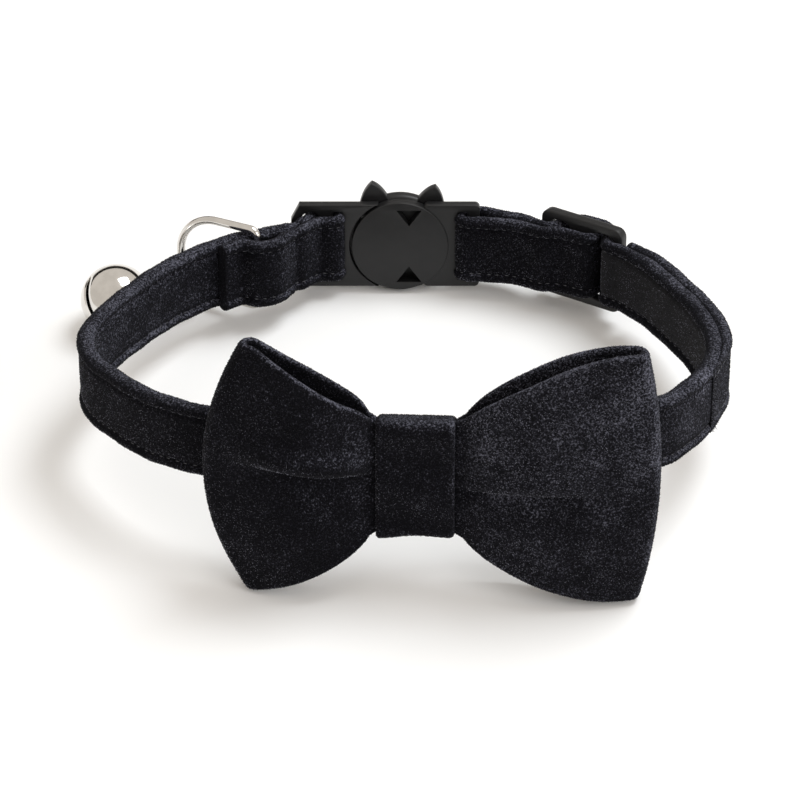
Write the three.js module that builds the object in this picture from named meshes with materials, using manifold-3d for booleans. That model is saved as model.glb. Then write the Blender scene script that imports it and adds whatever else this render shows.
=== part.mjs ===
// A velvet bow tie collar for a cat: strap loop, looped bow with its knot, breakaway buckle with two
// ears, slider, D-ring with a small jingle bell. Millimetres, +Z up. The collar lies on a surface as it
// would by itself: the bow's wings hold the front up, so the plane of the loop leans back.
import * as THREE from "three";
import { mergeVertices } from "three/addons/utils/BufferGeometryUtils.js";
import Module from "manifold-3d";

const wasm = await Module();
wasm.setup();

// Strap
const strapWidth = 10;
const strapThickness = 1.8;
const tightThickness = 1.3; // cloth squeezed where it passes a plastic bar
const clothRounding = 0.3; // rounding of each long edge of the cloth
const loopHalfWidth = 42.6; // middle of the cloth, from the loop's centre line to a side
const loopDepth = 58.4; // from the cloth at the front to the buckle's frame at the back
const clearance = 0.3; // between pieces, and between two layers of cloth
const foldedEnd = 15.5; // strap folded back beside the buckle's left half
const ringFromEnd = 7.3; // from that fold's free end to the D-ring's bar
const tailLength = 37.5;
const tailThickness = 1.6;
const foldedStart = 0.8; // along the main layer, where the folded-back layer starts beside it
const ringBulge = 2.6; // half the length of that layer's bulge round the D-ring's bar
const backSag = 0.4; // of the layer between the slider and the buckle
const stationStep = 1.1; // between the stations of the folded-back layer

// Plastic frames of the buckle and the slider
const frameRail = 1.2; // width of a top or bottom rail
const frameThickness = 1.4;
const frameBevel = 0.2;
const barWidth = 1.8; // bar that the strap folds round
const endBar = 1.4;
const passSlot = 2.8; // slot with one layer passing through
const foldSlot = 1.9; // slot with a fold in it
const frameWeb = 0.5; // plate between a fold slot and the round plate
const cornerAlong = 1.2; // cut off a frame's outer corner, along the strap
const cornerUp = 2.4; // and across it

// Buckle
const discRadius = 7;
const discThickness = 1.6;
const headRadius = 7.2;
const headThickness = 2;
const headBevel = 0.7;
const bridgeThickness = 0.8;
const earTip = 8.9; // from the middle of the round plate to an ear's tip, upward
const earLean = 4.6; // from the middle to the tip, sideways
const earRoll = 3.5; // degrees that the pair of ears is turned to the right, as seen from the front
const earThickness = 1.4;
const notchWidth = 3.6;
const notchDepth = 2.4;
const notchSide = 1.3; // the notches stand to one side of the middle

// Slider
const sliderLength = 13.5;
const sliderThickness = 1.6;
const sliderEndBar = 1.2;
const sliderSide = 26.3; // from the loop's centre line
const sliderBefore = 4.8; // nearer the front than the buckle
const sliderTurn = THREE.MathUtils.degToRad(-35);

// D-ring, jump ring and bell
const wireRadius = 0.6;
const ringHalfHeight = strapWidth / 2 + clearance * 1.5 + wireRadius;
const ringStraight = 6.7; // straight sides of the D, before its half circle
const ringCorner = 1.2;
const ringSwing = THREE.MathUtils.degToRad(152.7); // way the D points, from +X
const hookAngle = THREE.MathUtils.degToRad(-50); // place of the jump ring on the half circle
const linkRadius = 4.2;
const linkWire = 0.4;
const linkSlack = 0.8; // between the D-ring's wire and the jump ring's
const linkHeading = THREE.MathUtils.degToRad(187.7);
const linkPitch = THREE.MathUtils.degToRad(2);
const linkLean = 0.6; // share by which the jump ring turns square to the D-ring's wire
const bellRadius = 5.1;
const bellWall = 0.5;
const bellLoopRadius = 1.7;
const bellLoopWire = 0.45;
const bellLoopStand = 1.2; // from the shell to the centre of its wire loop
const bellHeading = THREE.MathUtils.degToRad(225.7);
const slitWidth = 0.8;
const slitHeight = 2.5; // from the far pole of the bell to the end of the slit
const slitTurn = THREE.MathUtils.degToRad(-25); // about the bell's axis
const pelletRadius = 1.4;

// Bow
const bowSide = 2.2; // middle of the bow, from the loop's centre line
const bowTurn = THREE.MathUtils.degToRad(-2.7);
const bowCloth = 1.4;
const bowKnotWidth = 10.2;
const knotCloth = 1.5;
const knotTop = 8.8; // above the middle of the strap
const knotBottom = 9.6;
const knotRounding = 1.6;
const bowReach = 32; // from the bow's middle to the fold of its longer wing
const bowRise = 18.3; // from the middle of the strap to a wing's highest corner
const pleatWidth = 1.2; // of the pleat's valley beside the knot
const strapRoom = 0.4; // between the strap and the knot's band behind it
const bowRoom = 0.9; // between the strap and the bow, at the knot
const wingForward = 1.3; // a wing's outer end stands this much further forward
const foldRadius = 1.2; // middle of the cloth, at the outer end of a wing

// The main layer of the strap from the buckle's left half to the slider, as seen from above.
// side is a share of loopHalfWidth, depth a share of loopDepth.
const loopTable = [
  { place: "ring seat", side: -0.395, depth: 0.93 },
  { place: "fold end", side: -0.474, depth: 0.902 },
  { place: "left shoulder", side: -0.552, depth: 0.881 },
  { place: "left back", side: -0.664, depth: 0.818 },
  { place: "left back", side: -0.772, depth: 0.733 },
  { place: "left", side: -0.859, depth: 0.637 },
  { place: "left", side: -0.946, depth: 0.517 },
  { place: "leftmost", side: -0.995, depth: 0.397 },
  { place: "left front", side: -0.97, depth: 0.294 },
  { place: "left front", side: -0.887, depth: 0.205 },
  { place: "left front", side: -0.77, depth: 0.115 },
  { place: "front", side: -0.62, depth: 0.051 },
  { place: "front", side: -0.375, depth: 0.008 },
  { place: "under the bow", side: 0.05, depth: 0 },
  { place: "front", side: 0.42, depth: 0.004 },
  { place: "right front", side: 0.634, depth: 0.033 },
  { place: "right front", side: 0.803, depth: 0.084 },
  { place: "right front", side: 0.88, depth: 0.144 },
  { place: "right", side: 0.965, depth: 0.248 },
  { place: "rightmost", side: 0.995, depth: 0.372 },
  { place: "right back", side: 0.955, depth: 0.525 },
  { place: "right back", side: 0.887, depth: 0.645 },
  { place: "right shoulder", side: 0.817, depth: 0.748 },
];

// One row for each wing. Shares of bowReach: reach of the outer fold at mid height and at its corners.
// Shares of bowRise: heights of those corners and of the cloth just outside the knot, how far the front
// layer stands off the back one, and the height of the pleat beside the knot and at the fold. topBow
// tells how much the top edge bows up, from a straight line.
const wings = [
  {
    hand: -1,
    reach: 0.872,
    corner: 0.744,
    top: 1,
    bottom: 0.99,
    topStart: 0.448,
    bottomStart: 0.536,
    puff: 0.202,
    pleat: -0.055,
    pleatEnd: 0.12,
    topBow: 0,
  },
  {
    hand: 1,
    reach: 1,
    corner: 0.934,
    top: 1,
    bottom: 1,
    topStart: 0.415,
    bottomStart: 0.525,
    puff: 0.164,
    pleat: -0.164,
    pleatEnd: -0.137,
    topBow: 1,
  },
];

const materials = {
  velvet: new THREE.MeshStandardMaterial({ color: 0x121216, roughness: 0.95, metalness: 0 }),
  plastic: new THREE.MeshStandardMaterial({ color: 0x17181a, roughness: 0.4, metalness: 0 }),
  nickel: new THREE.MeshStandardMaterial({ color: 0xd0cdc8, roughness: 0.12, metalness: 1 }),
};

// A closed mesh as a solid for joining and cutting.
function solid(geometry) {
  const bare = geometry.clone();
  bare.deleteAttribute("normal");
  bare.deleteAttribute("uv");
  const merged = mergeVertices(bare, 1e-4);
  const triVerts = new Uint32Array(merged.index.array);
  return new wasm.Manifold(
    new wasm.Mesh({ numProp: 3, vertProperties: merged.attributes.position.array, triVerts }),
  );
}

function geometryOf(body) {
  const made = body.getMesh();
  const geometry = new THREE.BufferGeometry();
  geometry.setAttribute("position", new THREE.BufferAttribute(made.vertProperties, 3));
  geometry.setIndex(new THREE.BufferAttribute(made.triVerts, 1));
  geometry.computeVertexNormals();
  return geometry;
}

function piece(name, geometry, material) {
  const mesh = new THREE.Mesh(geometry, material.clone());
  mesh.name = name;
  return mesh;
}

// A closed tube through closed rings of points, each ring in the same order.
function loopSolid(rings) {
  const across = rings[0].length;
  const positions = rings.flat().flatMap((point) => [point.x, point.y, point.z]);
  const index = [];
  rings.forEach((ring, row) => {
    const next = (row + 1) % rings.length;
    for (let column = 0; column < across; column += 1) {
      const beside = (column + 1) % across;
      const a = row * across + column;
      const b = row * across + beside;
      const c = next * across + beside;
      const d = next * across + column;
      index.push(a, b, c, a, c, d);
    }
  });
  const geometry = new THREE.BufferGeometry();
  geometry.setAttribute("position", new THREE.Float32BufferAttribute(positions, 3));
  geometry.setIndex(index);
  geometry.computeVertexNormals();
  return geometry;
}

// Points of an arc round a corner, each with the cloth's thickness there as its z.
function bend(corner, radius, fromDegrees, toDegrees, steps) {
  return Array.from({ length: steps + 1 }, (_, i) => {
    const angle = THREE.MathUtils.degToRad(fromDegrees + ((toDegrees - fromDegrees) * i) / steps);
    const x = corner[0] + radius * Math.cos(angle);
    const y = corner[1] + radius * Math.sin(angle);
    return new THREE.Vector3(x, y, tightThickness);
  });
}

// Moves plan points from a frame's own axes (along, outward) to the plan of the loop.
function toPlan(points, place) {
  const cos = Math.cos(place.turn);
  const sin = Math.sin(place.turn);
  return points.map(
    (p) => new THREE.Vector3(place.x + p.x * cos - p.y * sin, place.y + p.x * sin + p.y * cos, p.z),
  );
}

function smooth(points, share = 3) {
  const curve = new THREE.CatmullRomCurve3(points, false, "centripetal");
  return curve.getPoints(share * (points.length - 1));
}

// Outward side of a plan path at each of its points: to the right of the way it runs.
function sideways(path) {
  return path.map((_, i) => {
    const before = path[Math.max(i - 1, 0)];
    const after = path[Math.min(i + 1, path.length - 1)];
    const x = after.x - before.x;
    const y = after.y - before.y;
    const length = Math.hypot(x, y);
    return new THREE.Vector2(y / length, -x / length);
  });
}

// The same path moved outward by a distance for each point, with a new thickness.
function offsetPath(path, distance, thickness) {
  const out = sideways(path);
  return path.map((p, i) => {
    const step = distance(i);
    return new THREE.Vector3(p.x + out[i].x * step, p.y + out[i].y * step, thickness(i));
  });
}

// A band of cloth on edge: the path is its middle seen from above, z its thickness at each point.
function ribbon(path) {
  const out = sideways(path);
  const flank = (sign) =>
    path.map((p, i) => {
      const half = (sign * p.z) / 2;
      return new THREE.Vector2(p.x + out[i].x * half, p.y + out[i].y * half);
    });
  const outline = new THREE.Shape([...flank(1), ...flank(-1).reverse()]);
  return plate(outline, strapWidth, clothRounding).translate(0, 0, -strapWidth / 2);
}

// An outline extruded to a full depth, with its edges broken inside the outline.
function plate(outline, depth, bevel) {
  return new THREE.ExtrudeGeometry(outline, {
    depth: depth - 2 * bevel,
    bevelEnabled: bevel > 0,
    bevelThickness: bevel,
    bevelSize: bevel,
    bevelOffset: -bevel,
    bevelSegments: 1,
    curveSegments: 10,
  }).translate(0, 0, bevel);
}

// A plate that stands on edge: its outline is (along, up), and it fills from one depth to another.
function standing(outline, inner, outer, bevel) {
  return plate(outline, outer - inner, bevel)
    .rotateX(Math.PI / 2)
    .translate(0, outer, 0);
}

function rectangle(left, right, halfHeight) {
  return [
    new THREE.Vector2(left, -halfHeight),
    new THREE.Vector2(right, -halfHeight),
    new THREE.Vector2(right, halfHeight),
    new THREE.Vector2(left, halfHeight),
  ];
}

const slotHalfHeight = strapWidth / 2 + clearance + 0.1;
const frameHalfHeight = slotHalfHeight + frameRail;

// Strap: hardware places and the ways round their bars
const buckle = { x: 0, y: loopDepth, turn: 0 };
const slider = { x: sliderSide, y: loopDepth - sliderBefore, turn: sliderTurn };
const webEdge = discRadius + clearance + frameWeb;
const foldBarInner = webEdge + foldSlot;
const foldBarOuter = foldBarInner + barWidth;
const passSlotOuter = foldBarOuter + passSlot;
const frameEnd = passSlotOuter + endBar;
const halfFrame = frameThickness / 2;
const halfSlider = sliderThickness / 2;
const hug = clearance + tightThickness / 2; // middle of the cloth, off what it bends round
const layerStep = tightThickness + clearance;
const sliderSlotEnd = sliderLength / 2 - sliderEndBar;
const halfCentreBar = barWidth / 2;

// Steepness of the cloth as it passes a slot between two corners of the plastic.
function slotSlope(gapAlong, gapAcross, room) {
  const reach = Math.hypot(gapAlong, gapAcross);
  return THREE.MathUtils.radToDeg(Math.atan2(gapAcross, gapAlong) + Math.asin(room / reach));
}

const headSlope = slotSlope(passSlot, frameThickness, 2 * hug);
const sliderSlope = slotSlope(sliderSlotEnd - halfCentreBar, sliderThickness, 2 * hug + layerStep);

// From the left half's outer slot, over its bar, round it and back on the inner side.
const headEntry = toPlan(
  bend([-passSlotOuter, -halfFrame], hug, -60, headSlope - 90, 2),
  buckle,
);
const headWrap = toPlan(
  [
    ...bend([-foldBarOuter, halfFrame], hug, headSlope + 90, 90, 2),
    ...bend([-foldBarInner, halfFrame], hug, 90, 0, 3),
    ...bend([-foldBarInner, -halfFrame], hug, 0, -90, 3),
    new THREE.Vector3(-foldBarOuter, -halfFrame - hug, tightThickness),
  ],
  buckle,
);
const discWrap = toPlan(
  [
    new THREE.Vector3(foldBarOuter, halfFrame + hug, tightThickness),
    ...bend([foldBarInner, halfFrame], hug, 90, 180, 3),
    ...bend([foldBarInner, -halfFrame], hug, 180, 270, 3),
    new THREE.Vector3(foldBarOuter, -halfFrame - hug, tightThickness),
  ],
  buckle,
);

// Through the slider from its right end to its left, over the sewn fold on its centre bar.
const sliderPass = toPlan(
  [
    new THREE.Vector3(sliderLength / 2 + clearance, -halfSlider - hug, tightThickness),
    ...bend([sliderSlotEnd, -halfSlider], hug, 270, 270 - sliderSlope, 3),
    ...bend([halfCentreBar, halfSlider], hug + layerStep, 90 - sliderSlope, 90, 3),
    ...bend([-halfCentreBar, halfSlider], hug + layerStep, 90, 90 + sliderSlope, 3),
    ...bend([-sliderSlotEnd, -halfSlider], hug, sliderSlope - 90, -90, 3),
    new THREE.Vector3(-sliderLength / 2 - clearance, -halfSlider - hug, tightThickness),
  ],
  slider,
);
const sewnFold = toPlan(
  [
    new THREE.Vector3(-sliderLength / 2 - clearance, -halfSlider - hug - layerStep, tightThickness),
    ...bend([-sliderSlotEnd, -halfSlider], hug + layerStep, -90, -45, 2),
    ...bend([-halfCentreBar, -halfSlider], hug, -90, -90, 1).slice(0, 1),
    ...bend([halfCentreBar, -halfSlider], hug, -90, 0, 3),
    ...bend([halfCentreBar, halfSlider], hug, 0, 90, 3),
    new THREE.Vector3(-halfCentreBar, halfSlider + hug, tightThickness),
  ],
  slider,
);

const loopPoints = loopTable.map(
  (row) => new THREE.Vector3(row.side * loopHalfWidth, row.depth * loopDepth, strapThickness),
);
const mainLayer = [
  ...headEntry.slice(1).reverse(),
  ...smooth([headEntry[0], ...loopPoints, ...sliderPass.slice(0, 2)]),
];

function lengths(path) {
  const run = [0];
  for (let i = 1; i < path.length; i += 1) {
    run.push(run[i - 1] + Math.hypot(path[i].x - path[i - 1].x, path[i].y - path[i - 1].y));
  }
  return run;
}

// A point of a path at a length from its start, and the path's direction there.
function pointAt(path, distance) {
  const run = lengths(path);
  const i = Math.max(run.findIndex((length) => length > distance), 1);
  const share = (distance - run[i - 1]) / (run[i] - run[i - 1]);
  const point = path[i - 1].clone().lerp(path[i], share);
  const along = path[i].clone().sub(path[i - 1]).setZ(0).normalize();
  return { point, along };
}

// Stretch of a path between two lengths from its start.
function stretch(path, from, to, step) {
  const count = Math.max(2, Math.round((to - from) / step));
  return Array.from({ length: count + 1 }, (_, i) =>
    pointAt(path, from + ((to - from) * i) / count).point,
  );
}

// The folded-back layer lies inside the main one and bulges round the D-ring's bar.
const ringBarAt = foldedEnd - ringFromEnd;
const ringRoom = 2 * wireRadius + clearance;
const underLayer = stretch(mainLayer, foldedStart, foldedEnd, stationStep);
const underRun = lengths(underLayer);
const innerThickness = (i) => Math.min(tightThickness + underRun[i] * 0.05, tailThickness);
const innerLayer = offsetPath(
  underLayer,
  (i) => {
    const fromRing = (underRun[i] + foldedStart - ringBarAt) / ringBulge;
    const bulge = ringRoom * Math.exp(-(fromRing ** 4));
    return -(underLayer[i].z + innerThickness(i)) / 2 - clearance - bulge;
  },
  innerThickness,
);

// Two layers between the slider and the buckle's right half
const backMiddle = (foldBarOuter + slider.x - buckle.x) / 2 - 5 * backSag;
const outerBack = smooth([
  ...sliderPass.slice(-2),
  ...toPlan([new THREE.Vector3(backMiddle, -backSag, tailThickness)], buckle),
  discWrap[0],
]);
const innerBack = smooth([
  discWrap.at(-1),
  ...toPlan(
    [new THREE.Vector3(backMiddle - 3 * backSag, -2 * backSag - tailThickness, tailThickness)],
    buckle,
  ),
  ...sewnFold.slice(0, 2),
]);

const strapPath = [
  ...innerLayer.slice().reverse(),
  ...headWrap.slice().reverse(),
  ...mainLayer,
  ...sliderPass.slice(2, -2),
  ...outerBack,
  ...discWrap.slice(1, -1),
  ...innerBack,
  ...sewnFold.slice(2),
];

const collar = new THREE.Group();
collar.add(piece("strap", ribbon(strapPath), materials.velvet));

// Tail: the second layer on the outer face, from the slider round the right side.
const mainRun = lengths(mainLayer).at(-1);
const tailStart = mainRun - sliderEndBar - 3 * clearance;
const tailUnder = stretch(mainLayer, tailStart - tailLength, tailStart, 1.5 * stationStep);
const tailPath = offsetPath(
  tailUnder,
  (i) => (tailUnder[i].z + tailThickness) / 2 + clearance,
  (i) => tailThickness * Math.min(1, 0.6 + i * 0.12),
);
collar.add(piece("strap_tail", ribbon(tailPath), materials.velvet));

// Outline of one end of a frame, its outer corners broken
function frameOutline(inner, outer) {
  const outline = new THREE.Shape();
  const cut = outer - Math.sign(outer) * cornerAlong;
  outline.moveTo(inner, -frameHalfHeight);
  outline.lineTo(cut, -frameHalfHeight);
  outline.lineTo(outer, -frameHalfHeight + cornerUp);
  outline.lineTo(outer, frameHalfHeight - cornerUp);
  outline.lineTo(cut, frameHalfHeight);
  outline.lineTo(inner, frameHalfHeight);
  return outline;
}

// A plate in the middle of the strap with slots for the cloth, each from one place along it to another.
function slotted(outline, half, slots) {
  return slots.reduce(
    (body, [from, to]) =>
      body.subtract(solid(standing(new THREE.Shape(rectangle(from, to, slotHalfHeight)), -2, 2, 0))),
    solid(standing(outline, -half, half, frameBevel)),
  );
}

// Buckle, left half: two-slot frame, bridge, outer round plate and ears
const headShape = new THREE.Shape().absarc(0, 0, headRadius, 0, 2 * Math.PI, false);
const headPlateInner = halfFrame + clearance;
const headBody = solid(standing(headShape, headPlateInner, headPlateInner + headThickness, headBevel));
const clearRound = discRadius + clearance;
const headFrame = slotted(frameOutline(-headRadius / 2, -frameEnd), halfFrame, [
  [-foldBarInner, -webEdge],
  [-passSlotOuter, -foldBarOuter],
]);
const bridgeShape = new THREE.Shape(rectangle(-webEdge, -headRadius / 2, frameHalfHeight - 2 * frameRail));
const bridge = solid(
  standing(bridgeShape, -halfFrame + frameBevel, headPlateInner + bridgeThickness, 0),
);
const discRoom = solid(
  standing(
    new THREE.Shape().absarc(0, 0, clearRound, 0, 2 * Math.PI, false),
    -halfFrame - discThickness,
    headPlateInner,
    0,
  ),
);

// One ear: a leaf with one bowed side and one hollow side.
function earShape(hand) {
  const ear = new THREE.Shape();
  ear.moveTo(hand * headRadius * 0.2, headRadius * 0.8);
  ear.quadraticCurveTo(hand * headRadius * 0.42, earTip * 0.94, hand * earLean, earTip);
  ear.quadraticCurveTo(hand * headRadius * 0.84, earTip * 0.82, hand * headRadius * 0.78, headRadius * 0.5);
  return ear;
}

const ears = [-1, 1].map((hand) =>
  solid(standing(earShape(hand), headPlateInner, headPlateInner + earThickness, frameBevel)).rotate([
    0,
    earRoll,
    0,
  ]),
);
const headSolid = headFrame.add(bridge).subtract(discRoom).add(headBody).add(ears[0]).add(ears[1]);
const buckleGroup = new THREE.Group();
buckleGroup.position.set(buckle.x, buckle.y, 0);
collar.add(buckleGroup);
buckleGroup.add(piece("buckle_head", geometryOf(headSolid), materials.plastic));

// Buckle, right half: one-slot frame and the inner round plate with its two notches
const discInner = halfFrame - discThickness;
const discFrame = slotted(frameOutline(discRadius / 2, foldBarOuter), halfFrame, [
  [webEdge, foldBarInner],
]);
const discPlate = solid(
  standing(
    new THREE.Shape().absarc(0, 0, discRadius, 0, 2 * Math.PI, false),
    discInner,
    halfFrame,
    frameBevel,
  ),
);
const notches = [-1, 1].map((hand) => {
  const rim = discRadius - frameRail;
  const notch = new THREE.Shape([
    new THREE.Vector2(notchSide - notchWidth / 2, hand * rim),
    new THREE.Vector2(notchSide, hand * (rim - notchDepth)),
    new THREE.Vector2(notchSide + notchWidth / 2, hand * rim),
  ]);
  return solid(standing(notch, discInner - discThickness, discInner + discThickness / 2, 0));
});
const discSolid = discPlate.add(discFrame).subtract(notches[0]).subtract(notches[1]);
buckleGroup.add(piece("buckle_disc", geometryOf(discSolid), materials.plastic));

// Slider: a frame with a centre bar
const sliderOutline = new THREE.Shape(rectangle(-sliderLength / 2, sliderLength / 2, frameHalfHeight));
const sliderSolid = slotted(sliderOutline, halfSlider, [
  [-sliderSlotEnd, -halfCentreBar],
  [halfCentreBar, sliderSlotEnd],
]);
const sliderPiece = piece("slider", geometryOf(sliderSolid), materials.plastic);
sliderPiece.position.set(slider.x, slider.y, 0);
sliderPiece.rotation.z = slider.turn;
collar.add(sliderPiece);

// A closed wire: its middle is a flat closed line of points, up is square to that flat.
function closedWire(line, radius, up, sides) {
  const rings = line.map((point, i) => {
    const before = line[(i + line.length - 1) % line.length];
    const after = line[(i + 1) % line.length];
    const across = up.clone().cross(after.clone().sub(before)).normalize();
    return Array.from({ length: sides }, (_, k) => {
      const angle = (2 * Math.PI * k) / sides;
      return point
        .clone()
        .addScaledVector(across, radius * Math.cos(angle))
        .addScaledVector(up, radius * Math.sin(angle));
    });
  });
  return loopSolid(rings);
}

// D-ring: its bar stands at the origin, the D lies along +X
function ringLine() {
  const points = [];
  const corner = (x, z, from) => {
    for (let i = 0; i <= 3; i += 1) {
      const angle = from + ((Math.PI / 2) * i) / 3;
      points.push(
        new THREE.Vector3(x + ringCorner * Math.cos(angle), 0, z + ringCorner * Math.sin(angle)),
      );
    }
  };
  for (let i = 0; i <= 12; i += 1) {
    const angle = -Math.PI / 2 + (Math.PI * i) / 12;
    points.push(
      new THREE.Vector3(
        ringStraight + ringHalfHeight * Math.cos(angle),
        0,
        ringHalfHeight * Math.sin(angle),
      ),
    );
  }
  corner(ringCorner, ringHalfHeight - ringCorner, Math.PI / 2);
  corner(ringCorner, -ringHalfHeight + ringCorner, Math.PI);
  return points;
}

const seat = pointAt(mainLayer, foldedStart + ringBarAt);
const barInside = strapThickness / 2 + clearance + wireRadius;
const ringGroup = new THREE.Group();
ringGroup.position.set(
  seat.point.x - seat.along.y * barInside,
  seat.point.y + seat.along.x * barInside,
  0,
);
ringGroup.rotation.z = ringSwing;
collar.add(ringGroup);
ringGroup.add(
  piece("d_ring", closedWire(ringLine(), wireRadius, new THREE.Vector3(0, 1, 0), 6), materials.nickel),
);

// Bow: one looped band. A point of its middle surface has a wing, a share of the way out (0 beside the
// knot, 1 where the fold starts), a layer, an angle round the fold, and a share of the height.
const bowGroup = new THREE.Group();
bowGroup.position.set(bowSide, 0, 0);
bowGroup.rotation.z = bowTurn;
collar.add(bowGroup);
const wingStart = bowKnotWidth / 2 + clearance;
const backLayer = -(strapThickness / 2 + bowRoom + bowCloth / 2);
const pinch = bowCloth + clearance;
const pinchTop = knotTop - knotCloth - clearance;
const pinchBottom = knotBottom - knotCloth - clearance;

function bowPoint(wing, out, front, turn, share) {
  const spring = 1 - Math.exp(-out / 0.07);
  const bowed = Math.sin((Math.PI / 2) * out);
  const topRise = THREE.MathUtils.lerp(out, bowed, wing.topBow);
  const topStart = THREE.MathUtils.lerp(pinchTop, bowRise * wing.topStart, spring);
  const top = topStart + bowRise * (wing.top - wing.topStart) * topRise;
  const bottomStart = THREE.MathUtils.lerp(pinchBottom, bowRise * wing.bottomStart, spring);
  const bottom = bottomStart + bowRise * (wing.bottom - wing.bottomStart) * bowed;
  const height = share > 0 ? share * top : share * bottom;
  const fold = bowReach * THREE.MathUtils.lerp(wing.reach, wing.corner, share ** 2);
  const reach = fold - foldRadius - bowCloth / 2;
  const along = wingStart + (reach - wingStart) * out;
  const open = Math.sin(Math.PI * out ** 0.8) * bowRise * wing.puff + (2 * foldRadius - pinch) * out;
  const pleatHeight = bowRise * THREE.MathUtils.lerp(wing.pleat, wing.pleatEnd, out);
  const fromPleat = (height - pleatHeight) / (pleatWidth * (1 + 1.3 * out));
  const tuck = 0.75 * Math.exp(-(fromPleat ** 2)) * (1 - out ** 2);
  const puffed = open * (1 - tuck) * (1 - 0.2 * share ** 2);
  const back = backLayer - wingForward * out;
  const x = along + (turn === null ? 0 : foldRadius * Math.cos(turn));
  const y = turn === null ? back - (front ? pinch + puffed : 0) : back + foldRadius * (Math.sin(turn) - 1);
  return new THREE.Vector3(wing.hand * x, y, height);
}

// Stations round the band, from the middle of the back to the left, along the front and back.
function bowStations() {
  const outSteps = 9;
  const foldSteps = 4;
  const half = (wing) => {
    const rows = [];
    for (let i = 0; i <= outSteps; i += 1) rows.push([wing, i / outSteps, false, null]);
    for (let i = 1; i < foldSteps; i += 1) {
      rows.push([wing, 1, true, Math.PI / 2 - (Math.PI * i) / foldSteps]);
    }
    for (let i = outSteps; i >= 0; i -= 1) rows.push([wing, i / outSteps, true, null]);
    return rows;
  };
  return [...half(wings[0]), ...half(wings[1]).reverse()];
}

function bowGeometry() {
  const heightSteps = 12;
  const shares = Array.from({ length: heightSteps + 1 }, (_, i) => (2 * i) / heightSteps - 1);
  const middle = bowStations().map((row) => shares.map((share) => bowPoint(...row, share)));
  const rings = middle.map((column, i) => {
    const before = middle[(i + middle.length - 1) % middle.length];
    const after = middle[(i + 1) % middle.length];
    const side = (sign) =>
      column.map((point, k) => {
        const along = new THREE.Vector2(after[k].x - before[k].x, after[k].y - before[k].y).normalize();
        const step = (sign * bowCloth) / 2;
        return new THREE.Vector3(point.x + along.y * step, point.y - along.x * step, point.z);
      });
    return [...side(-1), ...side(1).reverse()];
  });
  return loopSolid(rings);
}

bowGroup.add(piece("bow", bowGeometry(), materials.velvet));

// Knot: a band round the bow's pinched middle and the strap, its section in (depth, height)
function knotOutline(grow, rounding) {
  const front = backLayer - pinch - bowCloth / 2 - clearance - grow;
  const back = strapThickness / 2 + strapRoom + grow;
  const top = knotTop - knotCloth + grow;
  const bottom = -(knotBottom - knotCloth) - grow;
  const backTop = strapWidth / 2 + strapRoom + grow;
  const shoulder = -strapThickness / 2;
  const corners = [
    new THREE.Vector2(front, bottom),
    new THREE.Vector2(shoulder, bottom),
    new THREE.Vector2(back, -backTop),
    new THREE.Vector2(back, backTop),
    new THREE.Vector2(shoulder, top),
    new THREE.Vector2(front, top),
  ];
  return corners.flatMap((corner, i) => {
    const toward = (other) => {
      const side = other.clone().sub(corner);
      return corner.clone().add(side.setLength(Math.min(rounding, 0.4 * side.length())));
    };
    const before = toward(corners[(i + corners.length - 1) % corners.length]);
    const after = toward(corners[(i + 1) % corners.length]);
    return new THREE.QuadraticBezierCurve(before, corner, after).getPoints(3);
  });
}

const knotShape = new THREE.Shape(knotOutline(knotCloth, knotRounding));
knotShape.holes.push(new THREE.Path(knotOutline(0, clearance)));
const knotBand = plate(knotShape, bowKnotWidth, clothRounding)
  .rotateX(Math.PI / 2)
  .rotateZ(Math.PI / 2)
  .translate(-bowKnotWidth / 2, 0, 0);
bowGroup.add(piece("bow_knot", knotBand, materials.velvet));

// The loop leans back until the bow's lower corners and the buckle's round plate touch one level.
const bowFoot = bowRise * Math.max(...wings.map((wing) => wing.bottom));
const footSpan = buckle.y + headPlateInner + headThickness - headBevel - backLayer;
const lean = Math.atan2(bowFoot - headRadius, footSpan);
collar.rotation.x = -lean;
const lying = new THREE.Group();
lying.add(collar);
lying.updateMatrixWorld(true);
const level = new THREE.Box3().setFromObject(collar, true).min.z;

// Direction from a heading (from +X) and a rise per length.
function direction(heading, rise) {
  const flat = Math.sqrt(1 - rise ** 2);
  return new THREE.Vector3(flat * Math.cos(heading), flat * Math.sin(heading), rise);
}

// Jump ring, hooked on the low part of the D
const hook = ringGroup.localToWorld(
  new THREE.Vector3(
    ringStraight + ringHalfHeight * Math.cos(hookAngle),
    0,
    ringHalfHeight * Math.sin(hookAngle),
  ),
);
const linkWay = direction(linkHeading, Math.sin(linkPitch));
const hookOffset = wireRadius + linkWire + linkSlack;
const hookAlong = new THREE.Vector3(-Math.sin(hookAngle), 0, Math.cos(hookAngle)).transformDirection(
  ringGroup.matrixWorld,
);
const linkUp = new THREE.Vector3(0, 0, 1).lerp(hookAlong, linkLean).projectOnPlane(linkWay).normalize();
const linkCentre = hook.clone().addScaledVector(linkWay, linkRadius - hookOffset);
const link = piece("jump_ring", new THREE.TorusGeometry(linkRadius, linkWire, 6, 20), materials.nickel);
link.quaternion.setFromUnitVectors(new THREE.Vector3(0, 0, 1), linkUp);
link.position.copy(linkCentre);
lying.add(link);

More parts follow.
